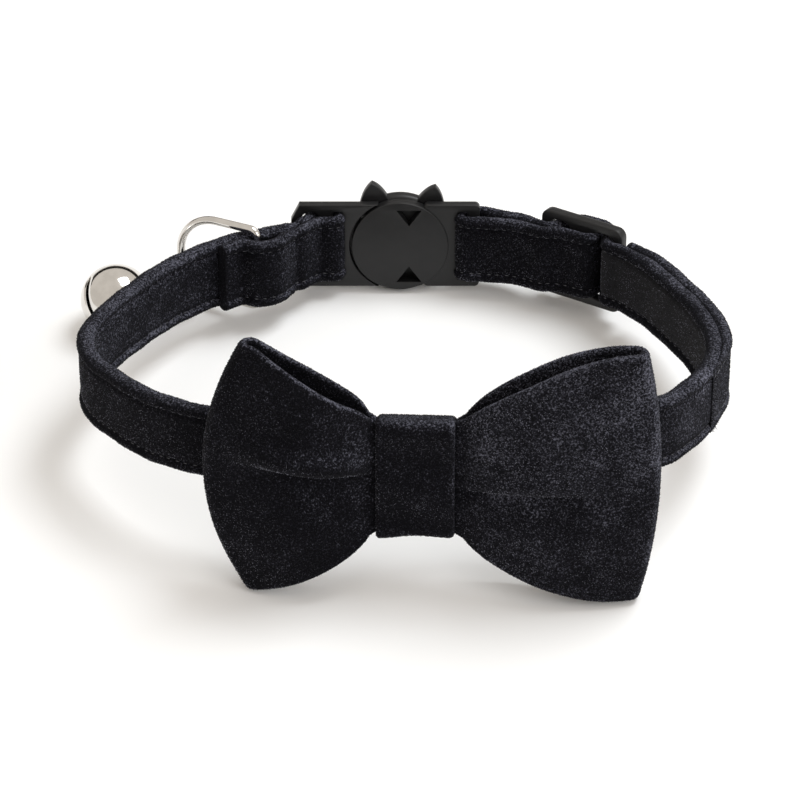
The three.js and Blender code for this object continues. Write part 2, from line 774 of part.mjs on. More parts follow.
// Bell: hollow ball with a slit through its far pole, a wire loop on the near one; it lies on the level
const loopGrip = linkWire + bellLoopWire + clearance;
const grip = hook
  .clone()
  .addScaledVector(linkWay, 2 * linkRadius - hookOffset - loopGrip);
const gripToBell = bellLoopRadius + bellRadius + bellLoopStand;
const bellWay = direction(bellHeading, (level + bellRadius - grip.z) / gripToBell);
const shell = solid(new THREE.SphereGeometry(bellRadius, 16, 12)).subtract(
  solid(new THREE.SphereGeometry(bellRadius - bellWall, 16, 12)),
);
const slit = solid(
  new THREE.BoxGeometry(3 * bellRadius, slitWidth, 2 * slitHeight)
    .rotateZ(slitTurn)
    .translate(0, 0, -bellRadius),
);
const bellLoop = solid(
  new THREE.TorusGeometry(bellLoopRadius, bellLoopWire, 6, 14)
    .rotateX(Math.PI / 2)
    .translate(0, 0, bellRadius + bellLoopStand),
);
const bell = piece("bell", geometryOf(shell.subtract(slit).add(bellLoop)), materials.nickel);
const bellUp = bellWay.clone().negate();
const bellAcross = new THREE.Vector3().crossVectors(linkUp, bellUp).normalize();
const bellSide = new THREE.Vector3().crossVectors(bellAcross, bellUp).normalize();
bell.quaternion.setFromRotationMatrix(new THREE.Matrix4().makeBasis(bellSide, bellAcross, bellUp));
bell.position.copy(grip).addScaledVector(bellWay, gripToBell);
lying.add(bell);

const pellet = piece("bell_pellet", new THREE.SphereGeometry(pelletRadius, 12, 8), materials.nickel);
pellet.position.copy(bell.position);
pellet.position.z -= bellRadius - bellWall - pelletRadius - clearance;
lying.add(pellet);

// The origin is under the middle of the whole part, on the surface that it lies on.
lying.updateMatrixWorld(true);
const box = new THREE.Box3().setFromObject(lying, true);
lying.position.set(-(box.min.x + box.max.x) / 2, -(box.min.y + box.max.y) / 2, -box.min.z);
const part = new THREE.Group();
part.add(lying);
part.updateMatrixWorld(true);

export default part;
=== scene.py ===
"""A black velvet bow tie collar for a cat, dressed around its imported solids.

Lengths in the classes are millimetres in the loop's own axes: x to the right, y back from the
strap at the front, z across the strap. LoopAxes turns them into the frame of the solids.
"""

import logging
import math
from dataclasses import dataclass, field
from enum import Enum

import bmesh
import bpy
import numpy as np
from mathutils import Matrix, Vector


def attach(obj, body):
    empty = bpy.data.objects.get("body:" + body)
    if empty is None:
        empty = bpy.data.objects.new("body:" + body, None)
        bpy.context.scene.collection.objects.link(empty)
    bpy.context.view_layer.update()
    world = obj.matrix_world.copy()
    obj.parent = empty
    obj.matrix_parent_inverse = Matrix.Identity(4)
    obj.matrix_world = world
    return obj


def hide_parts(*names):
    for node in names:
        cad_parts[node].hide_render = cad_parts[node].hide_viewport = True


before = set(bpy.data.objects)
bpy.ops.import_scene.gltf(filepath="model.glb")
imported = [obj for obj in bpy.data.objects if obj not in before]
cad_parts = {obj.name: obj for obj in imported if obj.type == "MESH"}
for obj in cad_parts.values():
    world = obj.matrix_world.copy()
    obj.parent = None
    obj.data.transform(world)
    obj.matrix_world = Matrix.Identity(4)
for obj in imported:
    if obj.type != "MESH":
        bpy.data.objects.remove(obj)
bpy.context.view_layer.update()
LOG = logging.getLogger("collar")
Array = np.ndarray
MM = 0.001


class Body(Enum):
    """The two rigid bodies of the collar."""

    COLLAR = "collar"
    RING = "ring"


class Slot(Enum):
    """The record's material slots."""

    VELVET = "velvet"
    PLASTIC = "black_plastic"
    NICKEL = "nickel"


@dataclass(frozen=True)
class LoopAxes:
    """The loop's own axes inside the frame of the solids."""

    origin: tuple[float, float, float] = (0.2596, -24.9188, 17.5917)
    lean: float = math.atan2(0.172985, 0.984924)

    def place(self, points: Array) -> Array:
        """Turns points from the loop's axes to the frame of the solids.

        Args:
            points: places in mm.

        Returns:
            The places in m.
        """
        cos, sin = math.cos(self.lean), math.sin(self.lean)
        x, y, z = points[..., 0], points[..., 1], points[..., 2]
        turned = np.stack([x, y * cos + z * sin, -y * sin + z * cos], axis=-1)
        return (turned + np.array(self.origin)) * MM

    def turn(self, ways: Array) -> Array:
        """Turns directions from the frame of the solids to the loop's axes.

        Args:
            ways: directions in the frame of the solids.

        Returns:
            The same directions in the loop's axes.
        """
        cos, sin = math.cos(self.lean), math.sin(self.lean)
        x, y, z = ways[..., 0], ways[..., 1], ways[..., 2]
        return np.stack([x, y * cos - z * sin, y * sin + z * cos], axis=-1)

    def find(self, points: Array) -> Array:
        """Turns points from the frame of the solids (m) to the loop's axes (mm)."""
        return self.turn(points / MM - np.array(self.origin))


AXES = LoopAxes()


# Arrays
def unit(vectors: Array) -> Array:
    """Vectors divided by their lengths."""
    return vectors / np.maximum(np.linalg.norm(vectors, axis=-1, keepdims=True), 1e-12)


def gauss(values: Array, middle: float, width: float) -> Array:
    """exp(-((value - middle) / width) squared)."""
    return np.exp(-(((values - middle) / width) ** 2))


def patches(points: Array, size: float, seed: int) -> Array:
    """Slow variation from 0 to 1: a mean of sine waves in random directions.

    Args:
        points: places, in mm.
        size: rough size of one patch, in mm.
        seed: seed of the directions.

    Returns:
        One value for each place.
    """
    rng = np.random.default_rng(seed)
    total = np.zeros(points.shape[:-1])
    for _ in range(7):
        way = unit(rng.normal(size=3)) * (2 * math.pi / size) * rng.uniform(0.6, 1.7)
        total = total + np.sin(points @ way + rng.uniform(0, 2 * math.pi))
    return np.clip(0.5 + total / 6, 0, 1)


@dataclass(frozen=True)
class VelvetPaintedLight:
    """Painted light of velvet: brighter where it faces a light from the upper right, plus a painted sheen of
    the leaning pile on the bow's right wing.
    """

    # direction of the light that this painted light stands in for
    towards: tuple[float, float, float] = (0.62, 0.1, 0.78)
    least: float = 0.1
    facing: float = 1.05
    # weight of the painted sheen of the leaning pile on the bow's right wing
    nap_sheen: float = 0.5
    nap_from: float = 6.0
    nap_ease: float = 5.0
    nap_low: float = 0.55
    nap_foot: float = -2.0
    nap_rise: float = 6.0

    def share(self, points: Array, normals: Array) -> Array:
        """A least share of painted light, plus painted light by the cosine to the light, plus the painted
        sheen of the nap.

        The painted nap sheen rises over a few millimetres to the right, fades out to the back and is
        stronger in the wing's upper half.

        Args:
            points: places in the loop's axes, in mm.
            normals: outward directions there.

        Returns:
            One value from 0 to 1 for each place.
        """
        # painted light: brighter where the surface faces the light at the upper right
        facing = np.maximum(normals @ unit(np.array(self.towards)), 0)
        x, y, z = points[..., 0], points[..., 1], points[..., 2]
        right = np.clip((x - self.nap_from) / self.nap_ease, 0, 1)
        forward = np.clip((self.nap_ease - y) / self.nap_ease, 0, 1)
        upper = np.clip((z - self.nap_foot) / self.nap_rise, 0, 1)
        # painted sheen of the leaning pile, on the right wing's front
        nap_sheen = right * forward * (self.nap_low + (1 - self.nap_low) * upper)
        return np.clip(self.least + self.facing * facing + self.nap_sheen * nap_sheen, 0, 1)


VELVET_PAINTED_LIGHT = VelvetPaintedLight()


def resample(path: Array, step: float) -> Array:
    """Points at even distances along a smooth curve through the path's points.

    The curve between two points is a cubic with the centred slopes of the points, taken over length.

    Args:
        path: rows whose first two values are x and y.
        step: distance between two new points.

    Returns:
        Rows with the same values as the path's.
    """
    run = np.concatenate([[0], np.cumsum(np.linalg.norm(np.diff(path[:, :2], axis=0), axis=1))])
    places = np.linspace(0, run[-1], max(3, int(run[-1] / step)))
    slope = np.gradient(path, run, axis=0)
    index = np.clip(np.searchsorted(run, places, side="right") - 1, 0, len(run) - 2)
    span = (run[index + 1] - run[index])[:, None]
    t = (places - run[index])[:, None] / span
    a, b = path[index], path[index + 1]
    p, q = slope[index] * span, slope[index + 1] * span
    return (
        (2 * t**3 - 3 * t**2 + 1) * a
        + (t**3 - 2 * t**2 + t) * p
        + (-2 * t**3 + 3 * t**2) * b
        + (t**3 - t**2) * q
    )


# Meshes
def show(name: str, data: bpy.types.ID) -> bpy.types.Object:
    """Makes an object and puts it in the scene.

    Args:
        name: the object's name.
        data: its mesh, curve, light or camera.

    Returns:
        The object.
    """
    made = bpy.data.objects.new(name, data)
    bpy.context.scene.collection.objects.link(made)
    return made


@dataclass
class Sheet:
    """A grid of points (rows, columns, 3) in the loop's axes, closed round its columns."""

    points: Array
    closed_rows: bool = False
    capped: bool = True
    bare: Array | None = None

    def faces(self) -> tuple[Array, list[list[int]]]:
        """Joins neighbouring points.

        Returns:
            Rows of four point numbers, and the two end faces where the sheet has them.
        """
        rows, columns = self.points.shape[:2]
        last = rows if self.closed_rows else rows - 1
        i, j = np.meshgrid(np.arange(last), np.arange(columns), indexing="ij")
        below, beside = (i + 1) % rows, (j + 1) % columns
        quads = np.stack(
            [i * columns + j, i * columns + beside, below * columns + beside, below * columns + j], axis=-1
        ).reshape(-1, 4)
        ends: list[list[int]] = []
        if self.capped and not self.closed_rows:
            ends = [list(range(columns))[::-1], list(range((rows - 1) * columns, rows * columns))]
        return quads, ends

    def normals(self) -> Array:
        """Works out directions from the differences between neighbouring points.

        Returns:
            Outward unit vectors: the way round the columns crossed with the way along the rows.
        """
        along = np.gradient(self.points, axis=0)
        if self.closed_rows:
            along = np.roll(self.points, -1, axis=0) - np.roll(self.points, 1, axis=0)
        round_ = np.roll(self.points, -1, axis=1) - np.roll(self.points, 1, axis=1)
        return unit(np.cross(round_, along))


@dataclass
class Piece:
    """One object made of sheets and of loose faces, ready to be attached to its body."""

    name: str
    vertices: list[Array] = field(default_factory=list)
    polygons: list[list[int]] = field(default_factory=list)
    count: int = 0

    def add(self, vertices: Array, polygons: list[list[int]] | Array) -> None:
        """Adds a part of the object.

        Args:
            vertices: places in the loop's axes, in mm.
            polygons: faces as numbers of these vertices.
        """
        start = self.count
        self.vertices.append(vertices.reshape(-1, 3))
        self.polygons.extend([[start + k for k in face] for face in polygons])
        self.count += vertices.reshape(-1, 3).shape[0]

    def add_sheet(self, sheet: Sheet) -> None:
        """Adds a sheet's points and faces."""
        quads, ends = sheet.faces()
        self.add(sheet.points, quads.tolist() + ends)

    def build(self, finish: bpy.types.Material, smooth_angle: float = 40.0) -> bpy.types.Object:
        """Makes the object, with outward normals and the painted light of each vertex in its lit attribute.

        Args:
            finish: its material.
            smooth_angle: angle in degrees above which an edge stays sharp.

        Returns:
            The object, in the scene.
        """
        mesh = bpy.data.meshes.new(self.name)
        mesh.from_pydata(AXES.place(np.vstack(self.vertices)).tolist(), [], self.polygons)
        bm = bmesh.new()
        bm.from_mesh(mesh)
        bmesh.ops.remove_doubles(bm, verts=bm.verts, dist=1e-7)
        bmesh.ops.recalc_face_normals(bm, faces=bm.faces)
        bm.to_mesh(mesh)
        bm.free()
        mesh.polygons.foreach_set("use_smooth", np.ones(len(mesh.polygons), bool))
        mesh.set_sharp_from_angle(angle=math.radians(smooth_angle))
        normal = np.zeros(len(mesh.vertices) * 3)
        mesh.vertices.foreach_get("normal", normal)
        spot = np.zeros(len(mesh.vertices) * 3)
        mesh.vertices.foreach_get("co", spot)
        # painted light: each vertex's share of a light from the upper right, plus the painted nap sheen, for
        # the velvet's colour
        lit = VELVET_PAINTED_LIGHT.share(AXES.find(spot.reshape(-1, 3)), AXES.turn(normal.reshape(-1, 3)))
        mesh.attributes.new("lit", "FLOAT", "POINT").data.foreach_set("value", lit.astype(np.float32))
        mesh.materials.append(finish)
        return show(self.name, mesh)


def declare(made: bpy.types.Object, body: Body, slot: Slot, *nodes: str) -> bpy.types.Object:
    """Attaches an object to its body and hides the CAD nodes that it stands for.

    Args:
        made: the object.
        body: what it rides on.
        slot: its material slot; not used.
        nodes: the nodes that it stands for.

    Returns:
        The same object.
    """
    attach(made, body.value)
    if nodes:
        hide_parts(*nodes)
    LOG.info("%s: %d faces", made.name, len(made.data.polygons))
    return made


@dataclass(frozen=True)
class Pile:
    """Short fibres that stand on a velvet surface, each a slim closed spike of four faces.

    A fibre's way is the surface's normal, plus a lay vector, plus a random lean. In crushed
    patches the lay is stronger and the fibres are shorter. Its foot is sunk in the surface.
    """

    count: int
    length: float = 0.78
    width: float = 0.10
    lay: tuple[float, float, float] = (0.0, -0.15, -0.3)
    lean: float = 0.55
    seed: int = 1
    least_rise: float = 0.25
    sunk: float = 0.08
    crush_size: float = 5.5
    shade_size: float = 7.0

    def grow(self, name: str, sheet: Sheet, finish: bpy.types.Material) -> bpy.types.Object:
        """Scatters the fibres evenly by area over a sheet, but for its bare part.

        Args:
            name: the object's name.
            sheet: the surface.
            finish: the fibres' material.

        Returns:
            One object with all the fibres, each with its own random tone and painted light.
        """
        rng = np.random.default_rng(self.seed)
        quads, _ = sheet.faces()
        quad = sheet.points.reshape(-1, 3)[quads]
        way = unit(sheet.normals().reshape(-1, 3)[quads].mean(axis=1))
        area = np.linalg.norm(np.cross(quad[:, 2] - quad[:, 0], quad[:, 3] - quad[:, 1]), axis=1)
        if sheet.bare is not None:
            area = np.where(sheet.bare.reshape(-1)[quads].any(axis=1), 0.0, area)
        pick = rng.choice(len(quad), self.count, p=area / area.sum())
        u, v = rng.random((2, self.count, 1))
        quad, way = quad[pick], way[pick]
        foot = (
            quad[:, 0] * (1 - u) * (1 - v)
            + quad[:, 1] * u * (1 - v)
            + quad[:, 2] * u * v
            + quad[:, 3] * (1 - u) * v
        )
        crush = patches(foot, self.crush_size, self.seed + 50)[:, None]
        lay = np.array(self.lay) * (0.35 + 1.3 * crush)
        aim = unit(way + lay + rng.normal(size=way.shape) * self.lean)
        facing = np.sum(aim * way, axis=1, keepdims=True)
        aim = unit(aim + way * np.maximum(self.least_rise - facing, 0))
        long = self.length * rng.uniform(0.55, 1.15, (self.count, 1)) * (1.15 - 0.4 * crush)
        side = unit(np.cross(aim, rng.normal(size=aim.shape)))
        other = np.cross(aim, side)
        base = foot - aim * self.sunk
        ring = [
            base + self.width / 2 * (math.cos(k) * side + math.sin(k) * other)
            for k in (0, 2 * math.pi / 3, 4 * math.pi / 3)
        ]
        spikes = np.stack([*ring, foot + aim * long], axis=1)
        start = np.arange(self.count)[:, None] * 4
        faces = np.concatenate([start + np.array(f) for f in ((0, 1, 3), (1, 2, 3), (2, 0, 3), (0, 2, 1))])
        mesh = bpy.data.meshes.new(name)
        mesh.vertices.add(self.count * 4)
        mesh.vertices.foreach_set("co", AXES.place(spikes).astype(np.float32).ravel())
        mesh.loops.add(faces.size)
        mesh.loops.foreach_set("vertex_index", faces.astype(np.int32).ravel())
        mesh.polygons.add(len(faces))
        mesh.polygons.foreach_set("loop_start", np.arange(0, faces.size, 3, dtype=np.int32))
        mesh.update(calc_edges=True)
        mesh.validate()
        bright = rng.beta(0.8, 1.8, self.count)
        # each fibre's random tone and slow patches, times the painted light of its place
        bright = bright * (0.55 + 0.9 * patches(foot, self.shade_size, self.seed + 70)) * VELVET_PAINTED_LIGHT.share(foot, way)
        tone_and_painted_light = np.repeat(bright, 4).astype(np.float32)
        mesh.attributes.new("tone_and_painted_light", "FLOAT", "POINT").data.foreach_set("value", np.clip(tone_and_painted_light, 0, 1))
        mesh.materials.append(finish)
        return show(name, mesh)


# Finishes
class Board:
    """The nodes of one material, with its shader's sockets by name."""

    def __init__(self, name: str) -> None:
        """Starts a material with a plain shader.

        Args:
            name: the material's name.
        """
        self.material = bpy.data.materials.new(name)
        self.material.use_nodes = True
        self.nodes = self.material.node_tree.nodes
        self.links = self.material.node_tree.links
        self.shader = self.nodes["Principled BSDF"]

    def put(self, **values: object) -> None:
        """Sets the shader's sockets; an underscore in a name is a space."""
        for name, value in values.items():
            self.shader.inputs[name.replace("_", " ")].default_value = value

    def node(
        self, kind: str, links: dict[str | int, object] | None = None, **settings: object
    ) -> bpy.types.Node:
        """Adds a node.

        Args:
            kind: the node's type.
            links: for each input, the socket that feeds it or its plain value.
            settings: the node's own settings.

        Returns:
            The node.
        """
        made = self.nodes.new(kind)
        for name, value in settings.items():
            setattr(made, name, value)
        for socket, value in (links or {}).items():
            if isinstance(value, bpy.types.NodeSocket):
                self.links.new(value, made.inputs[socket])
            else:
                made.inputs[socket].default_value = value
        return made

    def noise(self, scale: float, detail: float = 2.0, roughness: float = 0.5) -> bpy.types.NodeSocket:
        """Adds noise on the object's own coordinates.

        Args:
            scale: waves per metre.
            detail: number of finer layers.
            roughness: share of the finer layers.

        Returns:
            The socket of its value.
        """
        place = self.node("ShaderNodeTexCoord").outputs["Object"]
        made = self.node(
            "ShaderNodeTexNoise",
            {"Vector": place, "Scale": scale, "Detail": detail, "Roughness": roughness},
        )
        return made.outputs["Fac"]

    def span(
        self, value: bpy.types.NodeSocket, low: float, high: float, **ends: float
    ) -> bpy.types.NodeSocket:
        """Maps a value to a span.

        Args:
            value: the socket of the value.
            low: what its lower end becomes.
            high: what its upper end becomes.
            ends: start and stop of the value, where they aren't 0 and 1.

        Returns:
            The socket of the mapped value.
        """
        sockets = {"Value": value, "To Min": low, "To Max": high}
        sockets.update({"From Min": ends.get("start", 0.0), "From Max": ends.get("stop", 1.0)})
        return self.node("ShaderNodeMapRange", sockets).outputs[0]

    def add(self, one: bpy.types.NodeSocket, other: bpy.types.NodeSocket) -> bpy.types.NodeSocket:
        """The sum of two values."""
        return self.node("ShaderNodeMath", {0: one, 1: other}, operation="ADD").outputs[0]

    def share(self, name: str) -> bpy.types.NodeSocket:
        """The value of one of the mesh's own attributes."""
        return self.node("ShaderNodeAttribute", attribute_name=name).outputs["Fac"]

    def roughness(self, value: bpy.types.NodeSocket) -> None:
        """Feeds the shader's roughness."""
        self.links.new(value, self.shader.inputs["Roughness"])

    def ramp(
        self, factor: bpy.types.NodeSocket, stops: list[tuple[float, tuple[float, ...]]]
    ) -> bpy.types.NodeSocket:
        """Adds a colour ramp.

        Args:
            factor: the socket that chooses the place on the ramp.
            stops: places with their colours.

        Returns:
            The socket of the colour.
        """
        made = self.node("ShaderNodeValToRGB", {"Fac": factor})
        elements = made.color_ramp.elements
        while len(elements) < len(stops):
            elements.new(0.5)
        for element, (place, colour) in zip(elements, stops):
            element.position = place
            element.color = (*colour, 1.0)
        return made.outputs["Color"]

    def bump(self, height: bpy.types.NodeSocket, strength: float, distance: float) -> None:
        """Feeds a height into the shader's normal."""
        made = self.node("ShaderNodeBump", {"Height": height, "Strength": strength, "Distance": distance})
        self.links.new(made.outputs["Normal"], self.shader.inputs["Normal"])

    def colour(self, socket: bpy.types.NodeSocket) -> None:
        """Feeds the shader's base colour."""
        self.links.new(socket, self.shader.inputs["Base Color"])


class Finish:
    """A material; each kind dresses the board in its own way."""

    def dress(self, board: Board) -> None:
        """Sets the shader's values and adds the nodes."""
        raise NotImplementedError

    def make(self, name: str) -> bpy.types.Material:
        """Makes the material.

        Args:
            name: its name.

        Returns:
            The material.
        """
        board = Board(name)
        self.dress(board)
        return board.material


@dataclass(frozen=True)
class VelvetFinish(Finish):
    """Ground of black velvet: blue-black, with fine specks that painted light brings out where the surface
    turns to the light.
    """

    dark: tuple[float, float, float] = (0.0030, 0.0030, 0.0043)
    middle: tuple[float, float, float] = (0.0098, 0.0098, 0.0135)
    # speck tone, brought out by painted light where the surface faces the light
    light: tuple[float, float, float] = (0.135, 0.138, 0.175)
    sheen: float = 0.03

    def dress(self, board: Board) -> None:
        """Fine noise, raised by the painted light of the lit attribute and by slow patches, sets the specks.

        Args:
            board: the material's nodes.
        """
        board.put(Roughness=0.9, Specular_IOR_Level=0.06, Sheen_Weight=self.sheen, Sheen_Roughness=0.4)
        board.put(Sheen_Tint=(0.55, 0.56, 0.66, 1.0))
        fine = board.noise(3600.0, 3.0, 0.75)
        slow = board.noise(210.0, 3.0, 0.6)
        # painted light: the lit attribute lifts the colour where the surface faces the light
        rise = board.span(board.share("lit"), -0.09, 0.10)
        patch = board.span(slow, -0.04, 0.05, start=0.3, stop=0.7)
        mixed = board.add(fine, board.add(rise, patch))
        board.colour(board.ramp(mixed, [(0.42, self.dark), (0.56, self.middle), (0.74, self.light)]))
        board.bump(fine, 0.9, 0.00025)


@dataclass(frozen=True)
class FibreFinish(Finish):
    """The pile's fibres: dark, lighter by each fibre's own random tone and by its painted light."""

    dark: tuple[float, float, float] = (0.0034, 0.0034, 0.0048)
    light: tuple[float, float, float] = (0.250, 0.255, 0.310)

    def dress(self, board: Board) -> None:
        """The colour comes from each fibre's random tone and painted light.

        Args:
            board: the material's nodes.
        """
        board.put(Roughness=0.55, Specular_IOR_Level=0.14)
        # painted light: the attribute holds the fibre's tone times its painted light
        board.colour(board.ramp(board.share("tone_and_painted_light"), [(0.05, self.dark), (0.85, self.light)]))


@dataclass(frozen=True)
class LiningFinish(Finish):
    """Smooth woven lining: dark grey with a fine even grain."""

    dark: tuple[float, float, float] = (0.0075, 0.0075, 0.0086)
    light: tuple[float, float, float] = (0.0135, 0.0135, 0.0160)

    def dress(self, board: Board) -> None:
        """One fine noise sets the tone and the bump.

        Args:
            board: the material's nodes.
        """
        board.put(Roughness=0.85, Specular_IOR_Level=0.10, Sheen_Weight=0.03, Sheen_Roughness=0.5)
        grain = board.noise(2600.0, 4.0, 0.6)
        board.colour(board.ramp(grain, [(0.3, self.dark), (0.7, self.light)]))
        board.bump(grain, 0.35, 0.00008)


@dataclass(frozen=True)
class ThreadFinish(Finish):
    """Black polyester thread: a little lighter and shinier than the pile."""

    tone: tuple[float, float, float] = (0.09, 0.092, 0.105)

    def dress(self, board: Board) -> None:
        """One tone with a fine grain.

        Args:
            board: the material's nodes.
        """
        board.put(Roughness=0.5, Specular_IOR_Level=0.4)
        grain = board.noise(6000.0, 2.0)
        dark = tuple(0.5 * part for part in self.tone)
        board.colour(board.ramp(grain, [(0.35, dark), (0.65, self.tone)]))


@dataclass(frozen=True)
class PlasticFinish(Finish):
    """Moulded black plastic: satin, with faint mould grain and rubbed patches."""

    dark: tuple[float, float, float] = (0.0062, 0.0062, 0.0068)
    light: tuple[float, float, float] = (0.0100, 0.0100, 0.0108)

    def dress(self, board: Board) -> None:
        """Roughness and a little colour vary slowly, the bump is a very fine grain.

        Args:
            board: the material's nodes.
        """
        board.put(Specular_IOR_Level=0.34, Coat_Weight=0.06, Coat_Roughness=0.3)
        slow = board.noise(420.0, 3.0)
        board.roughness(board.span(slow, 0.36, 0.52))
        board.colour(board.ramp(slow, [(0.3, self.dark), (0.7, self.light)]))
        board.bump(board.noise(9000.0, 2.0), 0.12, 0.00003)


@dataclass(frozen=True)
class NickelFinish(Finish):
    """Bright nickel plate: warm white metal with a few fine marks."""

    tone: tuple[float, float, float] = (0.72, 0.70, 0.67)
    roughness: float = 0.09

    def dress(self, board: Board) -> None:
        """Roughness varies round its value, the colour has slow faint patches.

        Args:
            board: the material's nodes.
        """
        board.put(Metallic=1.0)
        slow = board.noise(500.0, 4.0)
        board.roughness(board.span(slow, self.roughness * 0.7, self.roughness * 1.6))
        dull = tuple(0.9 * part for part in self.tone)
        board.colour(board.ramp(slow, [(0.35, dull), (0.6, self.tone)]))
        board.bump(board.noise(1500.0, 3.0), 0.02, 0.0001)


# Cloth
@dataclass
class StitchedBand:
    """A velvet band on edge, with rolled edges and a sewn groove inside each of them.

    The section round the band is a closed curve: two faces with a shallow groove near each edge
    and a slight crown between, joined by round edges. It is carried along the band's middle line.
    """

    half_width: float = 5.15
    edge: float = 0.95
    groove_at: float = 3.6
    groove_depth: float = 0.30
    groove_width: float = 0.32
    rim: float = 0.30
    crown: float = 0.06
    loft: float = 0.06
    hug: float = 0.34
    tack: float = -15.1
    middle: tuple[float, float] = (0.0, 27.0)
    step: float = 0.48
    knot: tuple[float, float] = (2.2, 5.4)
    knot_height: float = 3.2
    knot_ease: float = 4.0
    knot_depth: float = 20.0
    tack_width: float = 0.6
    tack_depth: float = 50.0
    full_height: float = 4.7
    wave: float = 0.10

    def path(self, node: str) -> Array:
        """Middle line and thickness of a band, from the outline of its solid seen from above.

        The solid's outline at full thickness is walked round; its two ends are the edges between
        two square corners, and the middle is half way between the two flanks.

        Args:
            node: the band's CAD node.

        Returns:
            Rows of x, y and thickness, in mm.
        """
        bm = bmesh.new()
        bm.from_mesh(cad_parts[node].data)
        bmesh.ops.remove_doubles(bm, verts=bm.verts, dist=1e-6)
        bm.verts.ensure_lookup_table()
        places = AXES.find(np.array([vertex.co for vertex in bm.verts]))
        level = {
            vertex.index
            for vertex in bm.verts
            if abs(places[vertex.index][2] - self.full_height) < 0.02
        }
        near: dict[int, list[int]] = {index: [] for index in level}
        for edge in bm.edges:
            a, b = (vertex.index for vertex in edge.verts)
            if a in level and b in level:
                near[a].append(b)
                near[b].append(a)
        bm.free()
        start = min(near)
        ring = [start, near[start][0]]
        while True:
            ahead = [index for index in near[ring[-1]] if index != ring[-2]]
            if not ahead or ahead[0] == start:
                break
            ring.append(ahead[0])
        outline = places[ring][:, :2]
        back = unit(outline - np.roll(outline, 1, axis=0))
        ahead_way = unit(np.roll(outline, -1, axis=0) - outline)
        square = np.sum(back * ahead_way, axis=1) < 0.45
        ends = [k for k in range(len(ring)) if square[k] and square[(k + 1) % len(ring)]]
        first, second = ends[0], ends[1]
        flank = outline[first + 1 : second + 1]
        rest = np.concatenate([outline[second + 1 :], outline[: first + 1]])[::-1]
        LOG.info("%s: flanks of %d and %d points", node, len(flank), len(rest))
        middle = (flank + rest) / 2
        thickness = np.linalg.norm(flank - rest, axis=1, keepdims=True)
        return np.concatenate([middle, thickness], axis=1)

    def section(self) -> Array:
        """Closed curve round the band: one face up, an edge, the other face down, an edge.

        A face is 1, plus a cosine for the crown, less a bell curve at each groove, plus the rim.

        Returns:
            Rows of share of the half thickness and height.
        """
        flat = self.half_width - self.edge
        up = np.linspace(-flat, flat, 33)
        groove = gauss(np.abs(up), self.groove_at, self.groove_width)
        face = 1 + self.crown * np.cos(np.pi * up / (2 * flat)) - self.groove_depth * groove
        face += self.rim * np.clip((np.abs(up) - self.groove_at) / 0.35, 0, 1)
        turn = np.linspace(0, math.pi, 13)[1:-1]
        wide = 1 + self.rim
        top = np.stack([wide * np.cos(turn), flat + self.edge * np.sin(turn)], axis=1)
        one = np.stack([face, up], axis=1)
        other = np.stack([-face[::-1], up[::-1]], axis=1)
        bottom = np.stack([-wide * np.cos(turn), -flat - self.edge * np.sin(turn)], axis=1)
        return np.concatenate([one, top, other, bottom])

    def tuck(self, line: Array, out: Array, half: Array) -> tuple[Array, Array, Array]:
        """Lays a sewn-on layer against the one inside it and thins it out towards its sewn end.

        Args:
            line: the layer's middle line.
            out: directions across the layer.
            half: its half thickness.

        Returns:
            The new middle line, half thickness and share of the height.
        """
        run = np.concatenate([[0], np.cumsum(np.linalg.norm(np.diff(line[:, :2], axis=0), axis=1))])
        from_end = run if half[0] < half[-1] else run[-1] - run
        thin = 0.06 + 0.94 * (1 - np.exp(-((from_end / 7.0) ** 2)))
        inward = np.sign(np.sum(out * (np.array(self.middle) - line[:, :2])))
        shift = half * (1 - thin) + self.hug
        moved = line.copy()
        moved[:, :2] += inward * out * shift[:, None]
        return moved, half * thin, 1 - 0.05 * np.exp(-((from_end / 4.0) ** 2))

    def sheet(self, path: Array, tucked: bool) -> Sheet:
        """The band's surface: each section point moved out from the middle by its share.

        Args:
            path: rows of x, y and thickness.
            tucked: whether the band is the layer that is sewn on.

        Returns:
            The surface, drawn in behind the knot and pinched at the tack.
        """
        line = resample(path, self.step)
        along = unit(np.gradient(line[:, :2], axis=0))
        out = np.stack([along[:, 1], -along[:, 0]], axis=1)
        section = self.section()
        half = line[:, 2] / 2 + self.loft
        tall = np.ones(len(line))
        if tucked:
            line, half, tall = self.tuck(line, out, half)
        tack = gauss(line[:, 0], self.tack, self.tack_width) * (line[:, 1] > self.tack_depth)
        half = half * (1 - 0.5 * tack)
        flat = line[:, None, :2] + out[:, None, :] * (half[:, None] * section[None, :, 0])[..., None]
        height = section[None, :, 1] * (tall * (1 - 0.05 * tack))[:, None]
        points = np.concatenate([flat, height[..., None]], axis=-1)
        squeeze = np.clip((np.abs(points[..., 0] - self.knot[0]) - self.knot[1]) / self.knot_ease, 0, 1)
        squeeze = np.where(points[..., 1] < self.knot_depth, squeeze * squeeze * (3 - 2 * squeeze), 1.0)
        spare = self.half_width - self.knot_height
        points[..., 2] *= (self.knot_height + spare * squeeze) / self.half_width
        points[..., 2] += self.wave * np.sin(0.9 * points[..., 0]) * np.sin(0.7 * points[..., 1] + 1.0)
        return Sheet(points)


